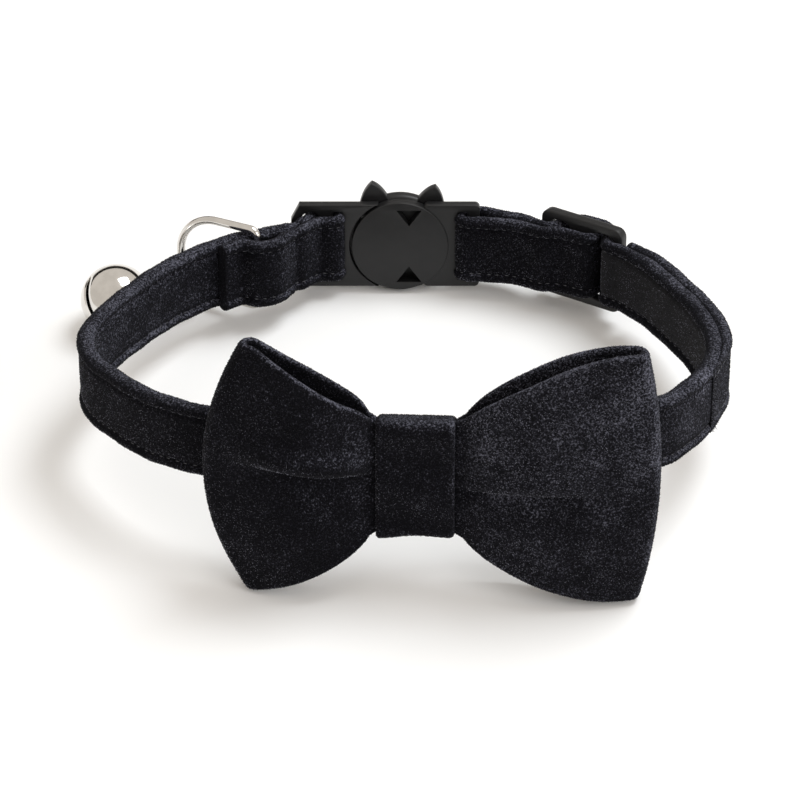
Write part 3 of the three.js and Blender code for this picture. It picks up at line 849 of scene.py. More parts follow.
@dataclass(frozen=True)
class Thread:
    """A row of stitches: short arched lengths of thread, each a closed spindle."""

    pitch: float = 2.6
    length: float = 1.7
    radius: float = 0.13
    lift: float = 0.22
    rows: int = 9
    sides: int = 6

    def sew(self, piece: Piece, line: Array, normal: Array, first: float) -> None:
        """Adds a row of stitches along a line of a surface.

        Args:
            piece: the object that the stitches go into.
            line: points of the surface, in order.
            normal: outward directions at those points.
            first: length along the line before the first stitch.
        """
        run = np.concatenate([[0], np.cumsum(np.linalg.norm(np.diff(line, axis=0), axis=1))])
        starts = np.arange(first, run[-1] - self.length, self.pitch)
        t = np.linspace(0, 1, self.rows)
        places = starts[:, None] + t * self.length
        centre = np.stack([np.interp(places, run, line[:, k]) for k in range(3)], axis=-1)
        up = unit(np.stack([np.interp(places, run, normal[:, k]) for k in range(3)], axis=-1))
        side = np.cross(unit(np.gradient(centre, axis=1)), up)
        arch = np.sin(math.pi * t)
        centre = centre + up * (self.lift * arch - 0.08)[:, None]
        angle = np.arange(self.sides) * (2 * math.pi / self.sides)
        thick = (self.radius * np.sqrt(np.maximum(arch, 0.01)))[:, None, None]
        turn = np.cos(angle)[:, None] * up[:, :, None] + np.sin(angle)[:, None] * side[:, :, None]
        rings = centre[:, :, None] + thick * turn
        for stitch in rings:
            piece.add_sheet(Sheet(stitch))


@dataclass
class Strap:
    """The strap and its sewn-on tail: velvet bands, their pile, stitches and a lining on one side."""

    band: StitchedBand = field(default_factory=StitchedBand)
    thread: Thread = field(default_factory=Thread)
    seam: float = 0.14
    lined_side: float = 27.5
    lined_depth: tuple[float, float] = (6.0, 50.6)

    def build(
        self,
        velvet: bpy.types.Material,
        fibre: bpy.types.Material,
        lining: bpy.types.Material,
        thread: bpy.types.Material,
    ) -> None:
        """Makes both bands, their fibres and their thread.

        Args:
            velvet: the ground's material.
            fibre: the pile's material.
            lining: the lined faces' material.
            thread: the stitches' material.
        """
        section = self.band.section()
        in_groove = np.abs(np.abs(section[:, 1]) - self.band.groove_at) < self.seam
        for node, count, seeds in (("strap", 38000, (3, 5)), ("strap_tail", 9000, (4,))):
            sheet = self.band.sheet(self.band.path(node), node == "strap_tail")
            piece = Piece(f"{node}_velvet")
            piece.add_sheet(sheet)
            made = piece.build(velvet, 60.0)
            declare(made, Body.COLLAR, Slot.VELVET, node)
            sheet.bare = np.broadcast_to(in_groove, sheet.points.shape[:2])
            if node == "strap":
                self.line(made, lining)
                lined = self.lined(sheet.points) & self.inward(sheet.points, sheet.normals())
                sheet.bare = sheet.bare | lined
            for seed in seeds:
                grown = Pile(count, seed=seed).grow(f"{node}_pile_{seed}", sheet, fibre)
                declare(grown, Body.COLLAR, Slot.VELVET)
            sewn = Piece(f"{node}_stitches")
            normals = sheet.normals()
            for column in np.flatnonzero(in_groove):
                self.thread.sew(sewn, sheet.points[:, column], normals[:, column], 0.6 + 0.9 * (column % 3))
            declare(sewn.build(thread, 60.0), Body.COLLAR, Slot.VELVET)

    def lined(self, points: Array) -> Array:
        """Where the strap's inner face is lined: the main layer on the right, between the grooves.

        Args:
            points: places in the loop's axes.

        Returns:
            One truth value for each place.
        """
        x, y, z = points[..., 0], points[..., 1], points[..., 2]
        near, far = self.lined_depth
        return (x > self.lined_side) & (y > near) & (y < far) & (np.abs(z) < self.band.groove_at - 0.1)

    def inward(self, points: Array, normals: Array) -> Array:
        """Whether a place of the surface looks into the loop."""
        middle = np.array(self.band.middle)
        return np.sum((middle - points[..., :2]) * normals[..., :2], axis=-1) > 0

    def line(self, made: bpy.types.Object, lining: bpy.types.Material) -> None:
        """Gives the lined faces their own finish.

        Args:
            made: the strap's object.
            lining: the lining's material.
        """
        made.data.materials.append(lining)
        count = len(made.data.polygons)
        centre, normal = np.zeros(count * 3), np.zeros(count * 3)
        made.data.polygons.foreach_get("center", centre)
        made.data.polygons.foreach_get("normal", normal)
        places = AXES.find(centre.reshape(-1, 3))
        chosen = self.lined(places) & self.inward(places, AXES.turn(normal.reshape(-1, 3)))
        made.data.polygons.foreach_set("material_index", chosen.astype(np.int32))


@dataclass
class Wing:
    """One wing of the bow.

    Its reach is taken at half height and at the corners. Its heights are named from the middle:
    beside the knot (start) and at the fold. The pleat runs from one height to another, the
    overhang is its lip, and a bow share turns a straight edge into a sine.
    """

    hand: int
    reach: float
    corner: float
    top: float
    bottom: float
    puff: float
    pleat: float
    pleat_end: float
    overhang: float
    top_start: float
    bottom_start: float
    top_bow: float
    bottom_bow: float


@dataclass
class Bow:
    """A looped band pinched in the middle; each wing has a back layer, a fold and a puffed front.

    A point of a wing has a share of the way out and a share of the height. Heights ease out from
    the pinch to the wing's corners; the front stands off the back by a bulge that a pleat divides.
    """

    side: float = 2.2
    turn: float = math.radians(-2.7)
    cloth: float = 1.0
    knot_width: float = 10.2
    back_layer: float = -2.5
    forward: float = 1.3
    pinch: float = 1.7
    pinch_top: float = 6.1
    back_drop: float = 1.2
    pinch_bottom: float = 8.4
    fold_radius: float = 1.2
    gap: float = 0.3
    spring: float = 0.07
    tuck_depth: float = 0.82
    tuck_sharp: float = 0.9
    tuck_wide: float = 2.2
    lip_depth: float = 1.1
    lip_rise: float = 2.2
    slack_size: float = 13.0
    slack_depth: float = 0.35
    fibres: int = 36000
    wings: tuple[Wing, Wing] = (
        Wing(
            hand=-1, reach=27.5, corner=22.5, top=17.9, bottom=17.7, puff=3.9, pleat=-1.0, pleat_end=2.2,
            overhang=1.4, top_start=7.9, bottom_start=10.0, top_bow=0.0, bottom_bow=0.4,
        ),
        Wing(
            hand=1, reach=31.6, corner=29.5, top=17.9, bottom=17.9, puff=3.0, pleat=-3.0, pleat_end=-2.5,
            overhang=0.0, top_start=7.3, bottom_start=9.9, top_bow=1.0, bottom_bow=1.0,
        ),
    )

    def middle(self, wing: Wing, out: Array, front: bool, fold: float | None, share: Array) -> Array:
        """Places of the cloth's middle surface, one for each share of the height.

        Heights spring from the pinch to the start heights in the first part of the way, then grow
        with it. The front's depth is a sine over the way, less a tuck at the pleat that falls off
        slowly below it and like a bell curve above it, plus a lip just above it.

        Args:
            wing: the wing.
            out: share of the way from the knot to the fold.
            front: whether the place is on the front layer.
            fold: angle round the fold, or None away from it.
            share: shares of the height, from -1 to 1.

        Returns:
            Points in the bow's own axes.
        """
        spring = 1 - math.exp(-out / self.spring)
        bowed = math.sin((math.pi / 2) * out)
        top_rise = out + (bowed - out) * wing.top_bow
        bottom_rise = out + (bowed - out) * wing.bottom_bow
        pinch_top = self.pinch_top if front else self.pinch_top - self.back_drop
        top = pinch_top + (wing.top_start - pinch_top) * spring
        top += (wing.top - wing.top_start) * top_rise
        bottom = self.pinch_bottom + (wing.bottom_start - self.pinch_bottom) * spring
        bottom += (wing.bottom - wing.bottom_start) * bottom_rise
        height = np.where(share > 0, share * top, share * bottom)
        reach = wing.reach + (wing.corner - wing.reach) * share**2 - self.fold_radius - self.cloth / 2
        start = self.knot_width / 2 + self.gap
        along = start + (reach - start) * out
        opened = math.sin(math.pi * out**0.8) * wing.puff + (2 * self.fold_radius - self.pinch) * out
        line = wing.pleat + (wing.pleat_end - wing.pleat) * out
        below = height < line
        sharp = self.tuck_sharp + 1.0 * out
        wide = self.tuck_wide + 4.5 * wing.overhang + 1.5 * out
        tuck = np.where(below, np.exp(-((line - height) / wide)), np.exp(-((height - line) / sharp) ** 2))
        tuck = self.tuck_depth * tuck * (1 - out**2.4)
        lip = wing.overhang * self.lip_depth * math.sin(math.pi * min(out * 1.05, 1.0))
        lip = lip * gauss(height, line + self.lip_rise, 2.0)
        puffed = opened * (1 - tuck) * (1 - 0.2 * share**2) + lip
        back = self.back_layer - self.forward * out
        x = along + (0 if fold is None else self.fold_radius * math.cos(fold))
        if fold is None:
            y = back - ((self.pinch + puffed) if front else np.zeros_like(share))
        else:
            y = back + self.fold_radius * (math.sin(fold) - 1) + np.zeros_like(share)
        return np.stack([wing.hand * x, y, height], axis=-1)

    def sheet(self) -> Sheet:
        """The band's closed surface: middle rows round both wings, thickened with round edges.

        Returns:
            The surface in the loop's axes.
        """
        out_steps = np.linspace(0, 1, 46)
        folds = np.linspace(math.pi / 2, -math.pi / 2, 11)[1:-1]
        share = np.linspace(-1, 1, 71)
        halves = []
        for wing in self.wings:
            rows = [self.middle(wing, out, False, None, share) for out in out_steps]
            rows += [self.middle(wing, 1.0, True, fold, share) for fold in folds]
            rows += [self.middle(wing, out, True, None, share) for out in out_steps[::-1]]
            halves.append(np.stack(rows))
        middle = np.concatenate([halves[0], halves[1][::-1]])
        for _ in range(2):
            middle = (np.roll(middle, 1, axis=0) + 2 * middle + np.roll(middle, -1, axis=0)) / 4
        slack = self.slack_depth * (patches(middle, self.slack_size, 12) - 0.5)
        middle[..., 1] += slack * np.clip((np.abs(middle[..., 0]) - 6) / 8, 0, 1)
        along = np.roll(middle, -1, axis=0) - np.roll(middle, 1, axis=0)
        up = np.gradient(middle, axis=1)
        normal = unit(np.cross(along, up))
        half = self.cloth / 2
        turn = np.linspace(0, math.pi, 7)[1:-1]
        rise = unit(up)
        top = [
            middle[:, -1] + half * (math.cos(a) * normal[:, -1] + math.sin(a) * rise[:, -1]) for a in turn
        ]
        bottom = [
            middle[:, 0] + half * (-math.cos(a) * normal[:, 0] - math.sin(a) * rise[:, 0]) for a in turn
        ]
        columns = [
            middle + half * normal,
            np.stack(top, axis=1),
            (middle - half * normal)[:, ::-1],
            np.stack(bottom, axis=1),
        ]
        points = np.concatenate(columns, axis=1)
        return Sheet(self.place(points), closed_rows=True)

    def place(self, points: Array) -> Array:
        """Turns points from the bow's own axes to the loop's.

        Args:
            points: places in the bow's axes.

        Returns:
            The places in the loop's axes.
        """
        cos, sin = math.cos(self.turn), math.sin(self.turn)
        x, y = points[..., 0], points[..., 1]
        return np.stack([self.side + x * cos - y * sin, x * sin + y * cos, points[..., 2]], axis=-1)

    def build(self, velvet: bpy.types.Material, fibre: bpy.types.Material) -> None:
        """Makes the bow and its fibres.

        Args:
            velvet: the ground's material.
            fibre: the pile's material.
        """
        sheet = self.sheet()
        piece = Piece("bow_velvet")
        piece.add_sheet(sheet)
        declare(piece.build(velvet, 75.0), Body.COLLAR, Slot.VELVET, "bow")
        for seed in (7, 8):
            pile = Pile(self.fibres, seed=seed, lay=(0.25, -0.1, -0.3))
            declare(pile.grow(f"bow_pile_{seed}", sheet, fibre), Body.COLLAR, Slot.VELVET)


@dataclass
class Knot:
    """The band round the bow's middle and the strap: a rounded outline in depth and height.

    The outline is carried round as rows; the section across the band has round edges, and the
    front is drawn in a little at its middle.
    """

    bow: Bow
    cloth: float = 1.2
    front: float = -5.2
    back: float = 1.3
    top: float = 7.1
    bottom: float = 9.4
    back_top: float = 3.1
    rounding: float = 1.6
    fold_depth: float = 0.35
    rib_depth: float = 0.05
    rib_pitch: float = 0.9
    waist: float = 0.045
    fibres: int = 9000

    def outline(self) -> Array:
        """Middle line of the cloth as a closed curve with eased corners.

        Returns:
            Rows of depth and height, at even distances.
        """
        grow = self.cloth / 2
        front, back = self.front - grow, self.back + grow
        top, bottom, low = self.top + grow, -self.bottom - grow, self.back_top + grow
        corners = np.array([[front, bottom], [back, -low], [back, low], [front, top]])
        rows = []
        for k, corner in enumerate(corners):
            before, after = corners[k - 1] - corner, corners[(k + 1) % len(corners)] - corner
            a = corner + before / np.linalg.norm(before) * min(self.rounding, 0.45 * np.linalg.norm(before))
            b = corner + after / np.linalg.norm(after) * min(self.rounding, 0.45 * np.linalg.norm(after))
            t = np.linspace(0, 1, 7)[:, None]
            rows.append((1 - t) ** 2 * a + 2 * t * (1 - t) * corner + t**2 * b)
        closed = np.concatenate(rows)
        closed = np.concatenate([closed, closed[:1]])
        run = np.concatenate([[0], np.cumsum(np.linalg.norm(np.diff(closed, axis=0), axis=1))])
        places = np.linspace(0, run[-1], 121)[:-1]
        return np.stack([np.interp(places, run, closed[:, k]) for k in (0, 1)], axis=1)

    def sheet(self) -> Sheet:
        """The band's closed surface, with soft folds and fine ribs on its front.

        Returns:
            The surface in the loop's axes.
        """
        line = self.outline()
        along = unit(np.roll(line, -1, axis=0) - np.roll(line, 1, axis=0))
        out = np.stack([along[:, 1], -along[:, 0]], axis=1)
        half = self.cloth / 2
        width = self.bow.knot_width / 2
        across = np.linspace(-(width - half), width - half, 25)
        turn = np.linspace(0, math.pi, 7)[1:-1]
        outer = np.stack([across, np.ones_like(across)], axis=1)
        inner = np.stack([across[::-1], -np.ones_like(across)], axis=1)
        right = np.stack([width - half + half * np.sin(turn), np.cos(turn)], axis=1)
        left = np.stack([-(width - half) - half * np.sin(turn), -np.cos(turn)], axis=1)
        section = np.concatenate([outer, right, inner, left])
        depth = line[:, None, :] + out[:, None, :] * (half * section[None, :, 1])[..., None]
        x = np.broadcast_to(section[None, :, 0], depth.shape[:2])
        points = np.concatenate([x[..., None], depth], axis=-1)
        facing = np.clip((-points[..., 1] - 2.0) / 3.0, 0, 1)
        points[..., 1] += self.fold_depth * facing * np.sin(points[..., 2] * 0.62 + 0.16 * points[..., 0])
        points[..., 1] += self.rib_depth * facing * np.sin(points[..., 0] * 2 * math.pi / self.rib_pitch)
        points[..., 2] *= 1 - self.waist * gauss(points[..., 0], 0.0, 3.2) * facing
        return Sheet(self.bow.place(points), closed_rows=True)

    def build(self, velvet: bpy.types.Material, fibre: bpy.types.Material) -> None:
        """Makes the knot and its fibres.

        Args:
            velvet: the ground's material.
            fibre: the pile's material.
        """
        sheet = self.sheet()
        piece = Piece("bow_knot_velvet")
        piece.add_sheet(sheet)
        declare(piece.build(velvet, 75.0), Body.COLLAR, Slot.VELVET, "bow_knot")
        pile = Pile(self.fibres, seed=9, lay=(0.0, -0.1, -0.3))
        declare(pile.grow("bow_knot_pile", sheet, fibre), Body.COLLAR, Slot.VELVET)


# Plastic
def circle(radius: float, count: int = 72, start: float = 0.0, end: float = 2 * math.pi) -> Array:
    """Points of a circle or an arc."""
    angle = np.linspace(start, end, count, endpoint=abs(end - start) < 2 * math.pi - 1e-6)
    return np.stack([radius * np.cos(angle), radius * np.sin(angle)], axis=1)


def box_outline(left: float, right: float, half: float, corner: float) -> Array:
    """A rectangle with quarter-circle corners, even above and below the middle.

    Args:
        left: its left side.
        right: its right side.
        half: half of its height.
        corner: radius of its corners.

    Returns:
        A closed outline.
    """
    rows = []
    for cx, cz, start in (
        (right - corner, half - corner, 0.0),
        (left + corner, half - corner, math.pi / 2),
        (left + corner, -half + corner, math.pi),
        (right - corner, -half + corner, 1.5 * math.pi),
    ):
        rows.append(circle(corner, 6, start, start + math.pi / 2) + [cx, cz])
    return np.concatenate(rows)


@dataclass(frozen=True)
class Slab:
    """A flat plate on edge: outlines along and up, from an inner to an outer depth, edges rounded."""

    outlines: tuple[Array, ...]
    inner: float
    outer: float
    rounding: float = 0.18

    def mesh(self, place: tuple[float, float, float]) -> tuple[Array, list[list[int]]]:
        """Fills the outlines, holes left open, and gives depth and rounded edges.

        Args:
            place: x and y of the plate's own origin and its turn, in the loop's axes.

        Returns:
            Vertices in the loop's axes and faces.
        """
        curve = bpy.data.curves.new("slab", "CURVE")
        curve.dimensions = "2D"
        curve.fill_mode = "BOTH"
        for outline in self.outlines:
            spline = curve.splines.new("POLY")
            spline.points.add(len(outline) - 1)
            rows = np.zeros((len(outline), 4))
            rows[:, :2], rows[:, 3] = outline, 1
            spline.points.foreach_set("co", rows.ravel())
            spline.use_cyclic_u = True
        curve.extrude = (self.outer - self.inner) / 2 - self.rounding
        curve.bevel_depth = self.rounding
        curve.bevel_resolution = 2
        curve.offset = -self.rounding
        holder = show("slab", curve)
        flat = bpy.data.meshes.new_from_object(holder.evaluated_get(bpy.context.evaluated_depsgraph_get()))
        co = np.zeros(len(flat.vertices) * 3)
        flat.vertices.foreach_get("co", co)
        co = co.reshape(-1, 3)
        faces = [list(polygon.vertices) for polygon in flat.polygons]
        bpy.data.objects.remove(holder)
        bpy.data.curves.remove(curve)
        bpy.data.meshes.remove(flat)
        depth = (self.inner + self.outer) / 2 - co[:, 2]
        x0, y0, turn = place
        cos, sin = math.cos(turn), math.sin(turn)
        x = x0 + co[:, 0] * cos - depth * sin
        y = y0 + co[:, 0] * sin + depth * cos
        return np.stack([x, y, co[:, 1]], axis=1), faces


@dataclass
class Buckle:
    """The breakaway buckle: two frames, an inner round plate with notches, an outer one with ears."""

    depth: float = 58.4
    half: float = 6.6
    slot: float = 5.4
    thickness: float = 1.4
    disc: float = 7.0
    head: float = 7.2
    web: float = 8.3
    fold_inner: float = 9.7
    fold_outer: float = 11.5
    pass_outer: float = 14.3
    end: float = 15.7
    head_inner: float = 1.0
    head_outer: float = 3.0
    notch_side: float = 1.3
    ear_roll: float = math.radians(3.5)
    corner: tuple[float, float] = (1.2, 2.4)
    ear_inner: float = 1.05
    ear_outer: float = 2.4
    bridge_end: float = 3.6
    bridge_half: float = 4.2
    bridge_outer: float = 1.8
    disc_inner: float = -0.9
    rail_start: float = 3.4

    @property
    def place(self) -> tuple[float, float, float]:
        """Where the buckle stands."""
        return (0.0, self.depth, 0.0)

    def ear(self, hand: int) -> Array:
        """A leaf: two curves from a wide foot to a point, each a parabola through a pull point.

        Args:
            hand: 1 for the right ear, -1 for the left one.

        Returns:
            A closed outline.
        """
        t = np.linspace(0, 1, 16)[:, None]
        foot_in, foot_out = np.array([1.5, 5.6]), np.array([6.3, 3.2])
        tip = np.array([4.6, 8.9])
        inner = (1 - t) ** 2 * foot_in + 2 * t * (1 - t) * np.array([2.9, 8.4]) + t**2 * tip
        outer = (1 - t) ** 2 * tip + 2 * t * (1 - t) * np.array([6.3, 7.3]) + t**2 * foot_out
        outline = np.concatenate([inner, outer[1:]]) * [hand, 1]
        cos, sin = math.cos(self.ear_roll), math.sin(self.ear_roll)
        x, z = outline[:, 0], outline[:, 1]
        return np.stack([x * cos + z * sin, z * cos - x * sin], axis=1)

    def notch(self, hand: int) -> Array:
        """A triangular notch that points to the middle of the disc.

        Args:
            hand: 1 for the upper notch, -1 for the lower one.

        Returns:
            A closed outline.
        """
        rim = self.disc - 1.2
        left, right = self.notch_side - 1.8, self.notch_side + 1.8
        return np.array([[left, hand * rim], [self.notch_side, hand * (rim - 2.5)], [right, hand * rim]])

    def left_outline(self) -> Array:
        """The left frame's outer line: round the disc on its right, cut corners on its left.

        Returns:
            A closed outline.
        """
        clear = self.disc + 0.3
        angle = math.asin(self.half / clear)
        arc = circle(clear, 40, math.pi - angle, math.pi + angle)
        along, up = self.corner
        end, half = self.end, self.half
        left = np.array([[-end + along, -half], [-end, -half + up], [-end, half - up], [-end + along, half]])
        return np.concatenate([arc, left])

    def build(self, plastic: bpy.types.Material) -> None:
        """Makes the two halves of the buckle.

        Args:
            plastic: their material.
        """
        half_t = self.thickness / 2
        left = Piece("buckle_head_shell")
        slots = (
            box_outline(-self.fold_inner, -self.web, self.slot, 0.25),
            box_outline(-self.pass_outer, -self.fold_outer, self.slot, 1.3),
        )
        bridge = box_outline(-self.web, -self.bridge_end, self.bridge_half, 0.1)
        plates = [
            Slab((self.left_outline(), *slots), -half_t, half_t),
            Slab((circle(self.head),), self.head_inner, self.head_outer, 0.65),
            Slab((bridge,), half_t - 0.3, self.bridge_outer, 0.05),
            *(Slab((self.ear(hand),), self.ear_inner, self.ear_outer, 0.2) for hand in (-1, 1)),
        ]
        for plate in plates:
            left.add(*plate.mesh(self.place))
        declare(left.build(plastic, 35.0), Body.COLLAR, Slot.PLASTIC, "buckle_head")

        right = Piece("buckle_disc_shell")
        rail = box_outline(self.rail_start, self.fold_outer, self.half, 0.7)
        slot = box_outline(self.web, self.fold_inner, self.slot, 0.25)
        disc = (circle(self.disc, 96), self.notch(1), self.notch(-1))
        right.add(*Slab((rail, slot), -half_t, half_t).mesh(self.place))
        right.add(*Slab(disc, self.disc_inner, half_t, 0.12).mesh(self.place))
        declare(right.build(plastic, 35.0), Body.COLLAR, Slot.PLASTIC, "buckle_disc")


@dataclass
class Slider:
    """The slider: a flat frame with rounded corners and a centre bar, which the cloth covers."""

    place: tuple[float, float, float] = (26.3, 53.6, math.radians(-35))
    length: float = 13.5
    half: float = 6.6
    slot: float = 5.4
    slot_end: float = 5.55
    centre: float = 1.6
    thickness: float = 1.6
    corner: float = 1.3
    slot_corner: float = 1.5

    def build(self, plastic: bpy.types.Material) -> None:
        """Makes the slider.

        Args:
            plastic: its material.
        """
        piece = Piece("slider_shell")
        outlines = (
            box_outline(-self.length / 2, self.length / 2, self.half, self.corner),
            box_outline(-self.slot_end, -self.centre, self.slot, self.slot_corner),
            box_outline(self.centre, self.slot_end, self.slot, self.slot_corner),
        )
        piece.add(*Slab(outlines, -self.thickness / 2, self.thickness / 2, 0.25).mesh(self.place))
        declare(piece.build(plastic, 35.0), Body.COLLAR, Slot.PLASTIC, "slider")


# Metal
def wire(line: Array, radius: float, up: Array, sides: int = 16) -> Sheet:
    """A round wire along a closed flat line.

    Args:
        line: the wire's middle.
        radius: its radius.
        up: the direction square to the line's flat.
        sides: number of points round the wire.

    Returns:
        The wire's surface.
    """
    along = unit(np.roll(line, -1, axis=0) - np.roll(line, 1, axis=0))
    across = unit(np.cross(along, up))
    angle = np.arange(sides) * (2 * math.pi / sides)
    points = (
        line[:, None]
        + radius * np.cos(angle)[None, :, None] * across[:, None]
        + radius * np.sin(angle)[None, :, None] * up
    )
    return Sheet(points, closed_rows=True)


@dataclass(frozen=True)
class Ring:
    """The D-ring: a half circle of wire, two straights and a bar with eased corners."""

    half_height: float = 6.05
    straight: float = 6.7
    corner: float = 1.2
    turn: float = math.radians(152.7)
    foot: tuple[float, float, float] = (-20.2951, 50.7328, 0.0)
    radius: float = 0.6

    def line(self) -> Array:
        """Middle of the wire, from the half circle's lower end round.

        Returns:
            A closed line in the loop's axes.
        """
        h, s, c = self.half_height, self.straight, self.corner
        bow = circle(h, 56, -math.pi / 2, math.pi / 2) + [s, 0]
        top = circle(c, 10, math.pi / 2, math.pi) + [c, h - c]
        low = circle(c, 10, math.pi, 1.5 * math.pi) + [c, -h + c]
        flat = np.concatenate([bow, top, low])
        cos, sin = math.cos(self.turn), math.sin(self.turn)
        return np.stack([flat[:, 0] * cos, flat[:, 0] * sin, flat[:, 1]], axis=1) + self.foot

    def build(self, nickel: bpy.types.Material) -> None:
        """Makes the D-ring.

        Args:
            nickel: its material.
        """
        piece = Piece("d_ring_wire")
        up = np.array([-math.sin(self.turn), math.cos(self.turn), 0.0])
        piece.add_sheet(wire(self.line(), self.radius, up))
        declare(piece.build(nickel), Body.RING, Slot.NICKEL, "d_ring")


@dataclass(frozen=True)
class Link:
    """The jump ring between the D-ring and the bell."""

    centre: tuple[float, float, float] = (-32.0815, 55.2584, -4.6077)
    up: tuple[float, float, float] = (-0.0231, 0.245, 0.9693)
    radius: float = 4.2
    wire_radius: float = 0.4

    def build(self, nickel: bpy.types.Material) -> None:
        """Makes the ring.

        Args:
            nickel: its material.
        """
        up = unit(np.array(self.up))
        side = unit(np.cross(up, [0.0, 1.0, 0.0]))
        flat = circle(self.radius, 72)
        line = flat[:, :1] * side + flat[:, 1:] * np.cross(up, side) + self.centre
        piece = Piece("jump_ring_wire")
        piece.add_sheet(wire(line, self.wire_radius, up))
        declare(piece.build(nickel), Body.RING, Slot.NICKEL, "jump_ring")


@dataclass(frozen=True)
class Bell:
    """The jingle bell: a thin ball with one slit, a wire loop and a loose pellet.

    The ball is laid out round the slit: for each angle along the slit's great circle there is one
    section of the wall on either side of it, from the slit's edge to the circle's own pole and back
    on the inside. The wall bends in a little beside the slit.
    """

    centre: tuple[float, float, float] = (-40.5905, 49.039, -4.07)
    up: tuple[float, float, float] = (0.686, 0.7248, -0.0629)
    across: tuple[float, float, float] = (-0.7216, 0.6669, -0.1858)
    radius: float = 5.1
    wall: float = 0.5
    slit_width: float = 0.8
    slit_reach: float = math.radians(59)
    slit_turn: float = math.radians(-25)
    loop_radius: float = 1.7
    loop_wire: float = 0.45
    loop_stand: float = 1.2
    pellet_drop: tuple[float, float, float] = (0.0, 0.5017, -2.8563)
    pellet_radius: float = 1.4

    def axes(self) -> tuple[Array, Array, Array]:
        """The bell's side, across and up directions."""
        up, across = unit(np.array(self.up)), unit(np.array(self.across))
        return np.cross(across, up), across, up

    def half(self, hand: int) -> tuple[Array, Array]:
        """One half of the ball beside the slit.

        Args:
            hand: the side of the slit, 1 or -1.

        Returns:
            A closed grid of points, and the faces that it keeps.
        """
        side, across, up = self.axes()
        cos, sin = math.cos(self.slit_turn), math.sin(self.slit_turn)
        way, pole = side * cos + across * sin, across * cos - side * sin
        angle = np.linspace(-math.pi, math.pi, 145)[:-1]
        share = np.clip(np.abs(angle) / self.slit_reach, 0, 1)
        edge = self.slit_width / 2 / self.radius * np.sqrt(np.maximum(1 - share**8, 0))
        rise = np.linspace(0, 1, 40) ** 1.6
        lift = edge[:, None] + (math.pi / 2 - edge[:, None]) * rise
        beside = self.radius * (lift - edge[:, None]) / 0.3
        bent = 0.12 * np.exp(-(beside**2)) * (1 - share**8)[:, None]
        lift = np.concatenate([lift, lift[:, ::-1]], axis=1)
        radius = np.concatenate([self.radius - bent, self.radius - self.wall - bent[:, ::-1]], axis=1)
        out = (
            np.cos(lift)[..., None] * (np.sin(angle)[:, None, None] * way - np.cos(angle)[:, None, None] * up)
            + hand * np.sin(lift)[..., None] * pole
        )
        points = radius[..., None] * out + self.centre
        quads, _ = Sheet(points, closed_rows=True).faces()
        rows, columns = points.shape[:2]
        row = quads[:, 0] // columns
        is_wall = quads[:, 0] % columns == columns - 1
        open_here = (edge[row] > 0) | (edge[(row + 1) % rows] > 0)
        return points, quads[~is_wall | open_here]

    def build(self, nickel: bpy.types.Material) -> None:
        """Makes the ball with its loop, and the pellet.

        Args:
            nickel: their material.
        """
        side, across, up = self.axes()
        shell = Piece("bell_shell")
        for hand in (-1, 1):
            points, quads = self.half(hand)
            shell.add(points, quads.tolist())
        flat = circle(self.loop_radius, 48)
        middle = np.array(self.centre) + up * (self.radius + self.loop_stand)
        shell.add_sheet(wire(flat[:, :1] * side + flat[:, 1:] * up + middle, self.loop_wire, across))
        declare(shell.build(nickel, 50.0), Body.RING, Slot.NICKEL, "bell")
        pellet = Piece("bell_pellet_ball")
        turn = np.linspace(0, math.pi, 21)
        ring = circle(1.0, 28)
        rows = np.sin(turn)[:, None, None] * np.append(ring, np.zeros((28, 1)), axis=1)
        rows[..., 2] += np.cos(turn)[:, None]
        place = np.array(self.centre) + self.pellet_drop
        pellet.add_sheet(Sheet(self.pellet_radius * rows + place, capped=False))
        declare(pellet.build(nickel), Body.RING, Slot.NICKEL, "bell_pellet")


# The scene
@dataclass(frozen=True)
class Lamp:
    """A square area light that looks at the collar: place and size in metres, power in watts."""

    name: str
    place: tuple[float, float, float]
    size: float
    power: float
    colour: tuple[float, float, float]

    def build(self) -> None:
        """Makes the light."""
        data = bpy.data.lights.new(self.name, "AREA")
        data.size, data.energy, data.color = self.size, self.power, self.colour
        holder = show(self.name, data)
        holder.location = self.place
        way = Vector((0, 0, 0.01)) - Vector(self.place)
        holder.rotation_euler = way.to_track_quat("-Z", "Y").to_euler()


@dataclass(frozen=True)
class Card:
    """A dark card outside the view, which bright metal mirrors; its middle and size in metres."""

    name: str
    middle: tuple[float, float, float]
    size: tuple[float, float, float]

    def build(self) -> None:
        """Makes the card."""
        board = Board(self.name)
        board.put(Roughness=0.9, Specular_IOR_Level=0.0)
        tones = [(0.3, (0.012, 0.011, 0.010)), (0.7, (0.016, 0.015, 0.014))]
        board.colour(board.ramp(board.noise(20.0), tones))
        card = Piece(self.name)
        signs = np.array([[x, y, z] for x in (-1, 1) for y in (-1, 1) for z in (-1, 1)])
        corners = np.array(self.middle) + signs * np.array(self.size) / 2
        faces = [[0, 1, 3, 2], [4, 6, 7, 5], [0, 4, 5, 1], [2, 3, 7, 6], [0, 2, 6, 4], [1, 5, 7, 3]]
        card.add(AXES.find(corners), faces)
        card.build(board.material)


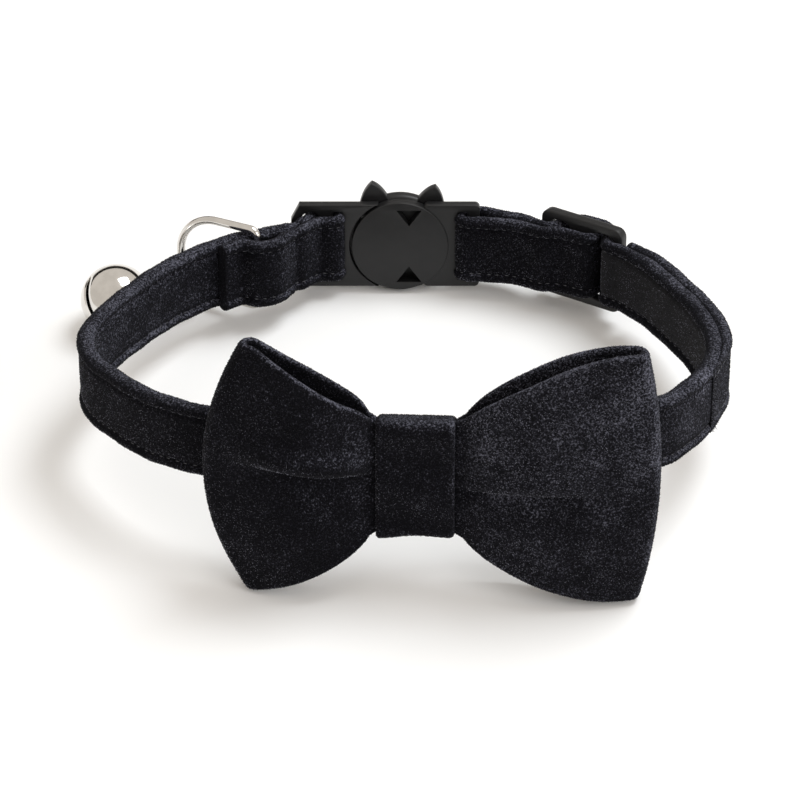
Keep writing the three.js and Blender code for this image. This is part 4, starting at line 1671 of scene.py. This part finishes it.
@dataclass
class Studio:
    """White floor, soft lights, dark cards and the camera of the photograph."""

    rise: float = 40.0
    distance: float = 450.0
    target: tuple[float, float, float] = (0.0, 13.2, 0.0)
    pixels: float = 3375.0
    floor_half: float = 2500.0
    world_colour: tuple[float, float, float, float] = (1.0, 0.94, 0.87, 1.0)
    world_strength: float = 0.76
    lamps: tuple[Lamp, ...] = (
        Lamp("key", (0.35, 0.24, 0.84), 0.45, 5.4, (0.93, 0.97, 1.0)),
        Lamp("fill", (0.55, -0.45, 0.45), 0.4, 1.7, (0.97, 0.98, 1.0)),
    )
    cards: tuple[Card, ...] = (
        Card("flag_back", (0.0, 0.95, 0.22), (3.2, 0.02, 0.30)),
        Card("flag_front", (-0.02, -0.44, 0.40), (0.10, 0.02, 0.34)),
    )

    def build(self) -> None:
        """Makes the camera, the floor, the world, the lights and the cards."""
        bpy.context.scene.view_settings.view_transform = "Standard"
        self.camera()
        self.floor()
        self.world()
        for part in (*self.lamps, *self.cards):
            part.build()

    def camera(self) -> None:
        """Makes the camera; its lens is the focal length in pixels over the photograph's width."""
        aim = Vector(AXES.place(np.array(self.target)).tolist())
        camera = bpy.data.cameras.new("camera")
        camera.sensor_width = 36.0
        camera.lens = 36.0 * self.pixels / 800.0
        camera.clip_start, camera.clip_end = 0.01, 10.0
        holder = show("camera", camera)
        angle = math.radians(self.rise)
        holder.location = aim + Vector((0, -math.cos(angle), math.sin(angle))) * self.distance * MM
        holder.rotation_euler = (math.pi / 2 - angle, 0, 0)
        bpy.context.scene.camera = holder

    def floor(self) -> None:
        """Makes the white floor."""
        board = Board("floor_white")
        board.put(Roughness=0.9, Specular_IOR_Level=0.1)
        grain = board.noise(40.0, 2.0)
        board.colour(board.ramp(grain, [(0.0, (0.93, 0.93, 0.93)), (1.0, (0.96, 0.96, 0.96))]))
        floor = Piece("floor")
        size = self.floor_half
        corners = np.array([[-size, -size, 0], [size, -size, 0], [size, size, 0], [-size, size, 0]])
        floor.add(AXES.find(corners * MM), [[0, 1, 2, 3]])
        made = floor.build(board.material)

    def world(self) -> None:
        """Makes the even light from all around."""
        world = bpy.data.worlds.new("world")
        world.use_nodes = True
        background = world.node_tree.nodes["Background"]
        background.inputs["Color"].default_value = self.world_colour
        background.inputs["Strength"].default_value = self.world_strength
        bpy.context.scene.world = world


def main() -> None:
    """Builds the collar's pieces in order, dresses them and sets up the scene."""
    logging.basicConfig(level=logging.INFO, format="%(name)s %(message)s")
    velvet = VelvetFinish().make("velvet_ground")
    fibre = FibreFinish().make("velvet_pile")
    lining = LiningFinish().make("strap_lining")
    plastic = PlasticFinish().make("black_plastic_satin")
    nickel = NickelFinish().make("bright_nickel")
    Strap().build(velvet, fibre, lining, ThreadFinish().make("sewing_thread"))
    bow = Bow()
    bow.build(velvet, fibre)
    Knot(bow).build(velvet, fibre)
    Buckle().build(plastic)
    Slider().build(plastic)
    for metal in (Ring(), Link(), Bell()):
        metal.build(nickel)
    Studio().build()


if __name__ == "__main__":
    main()
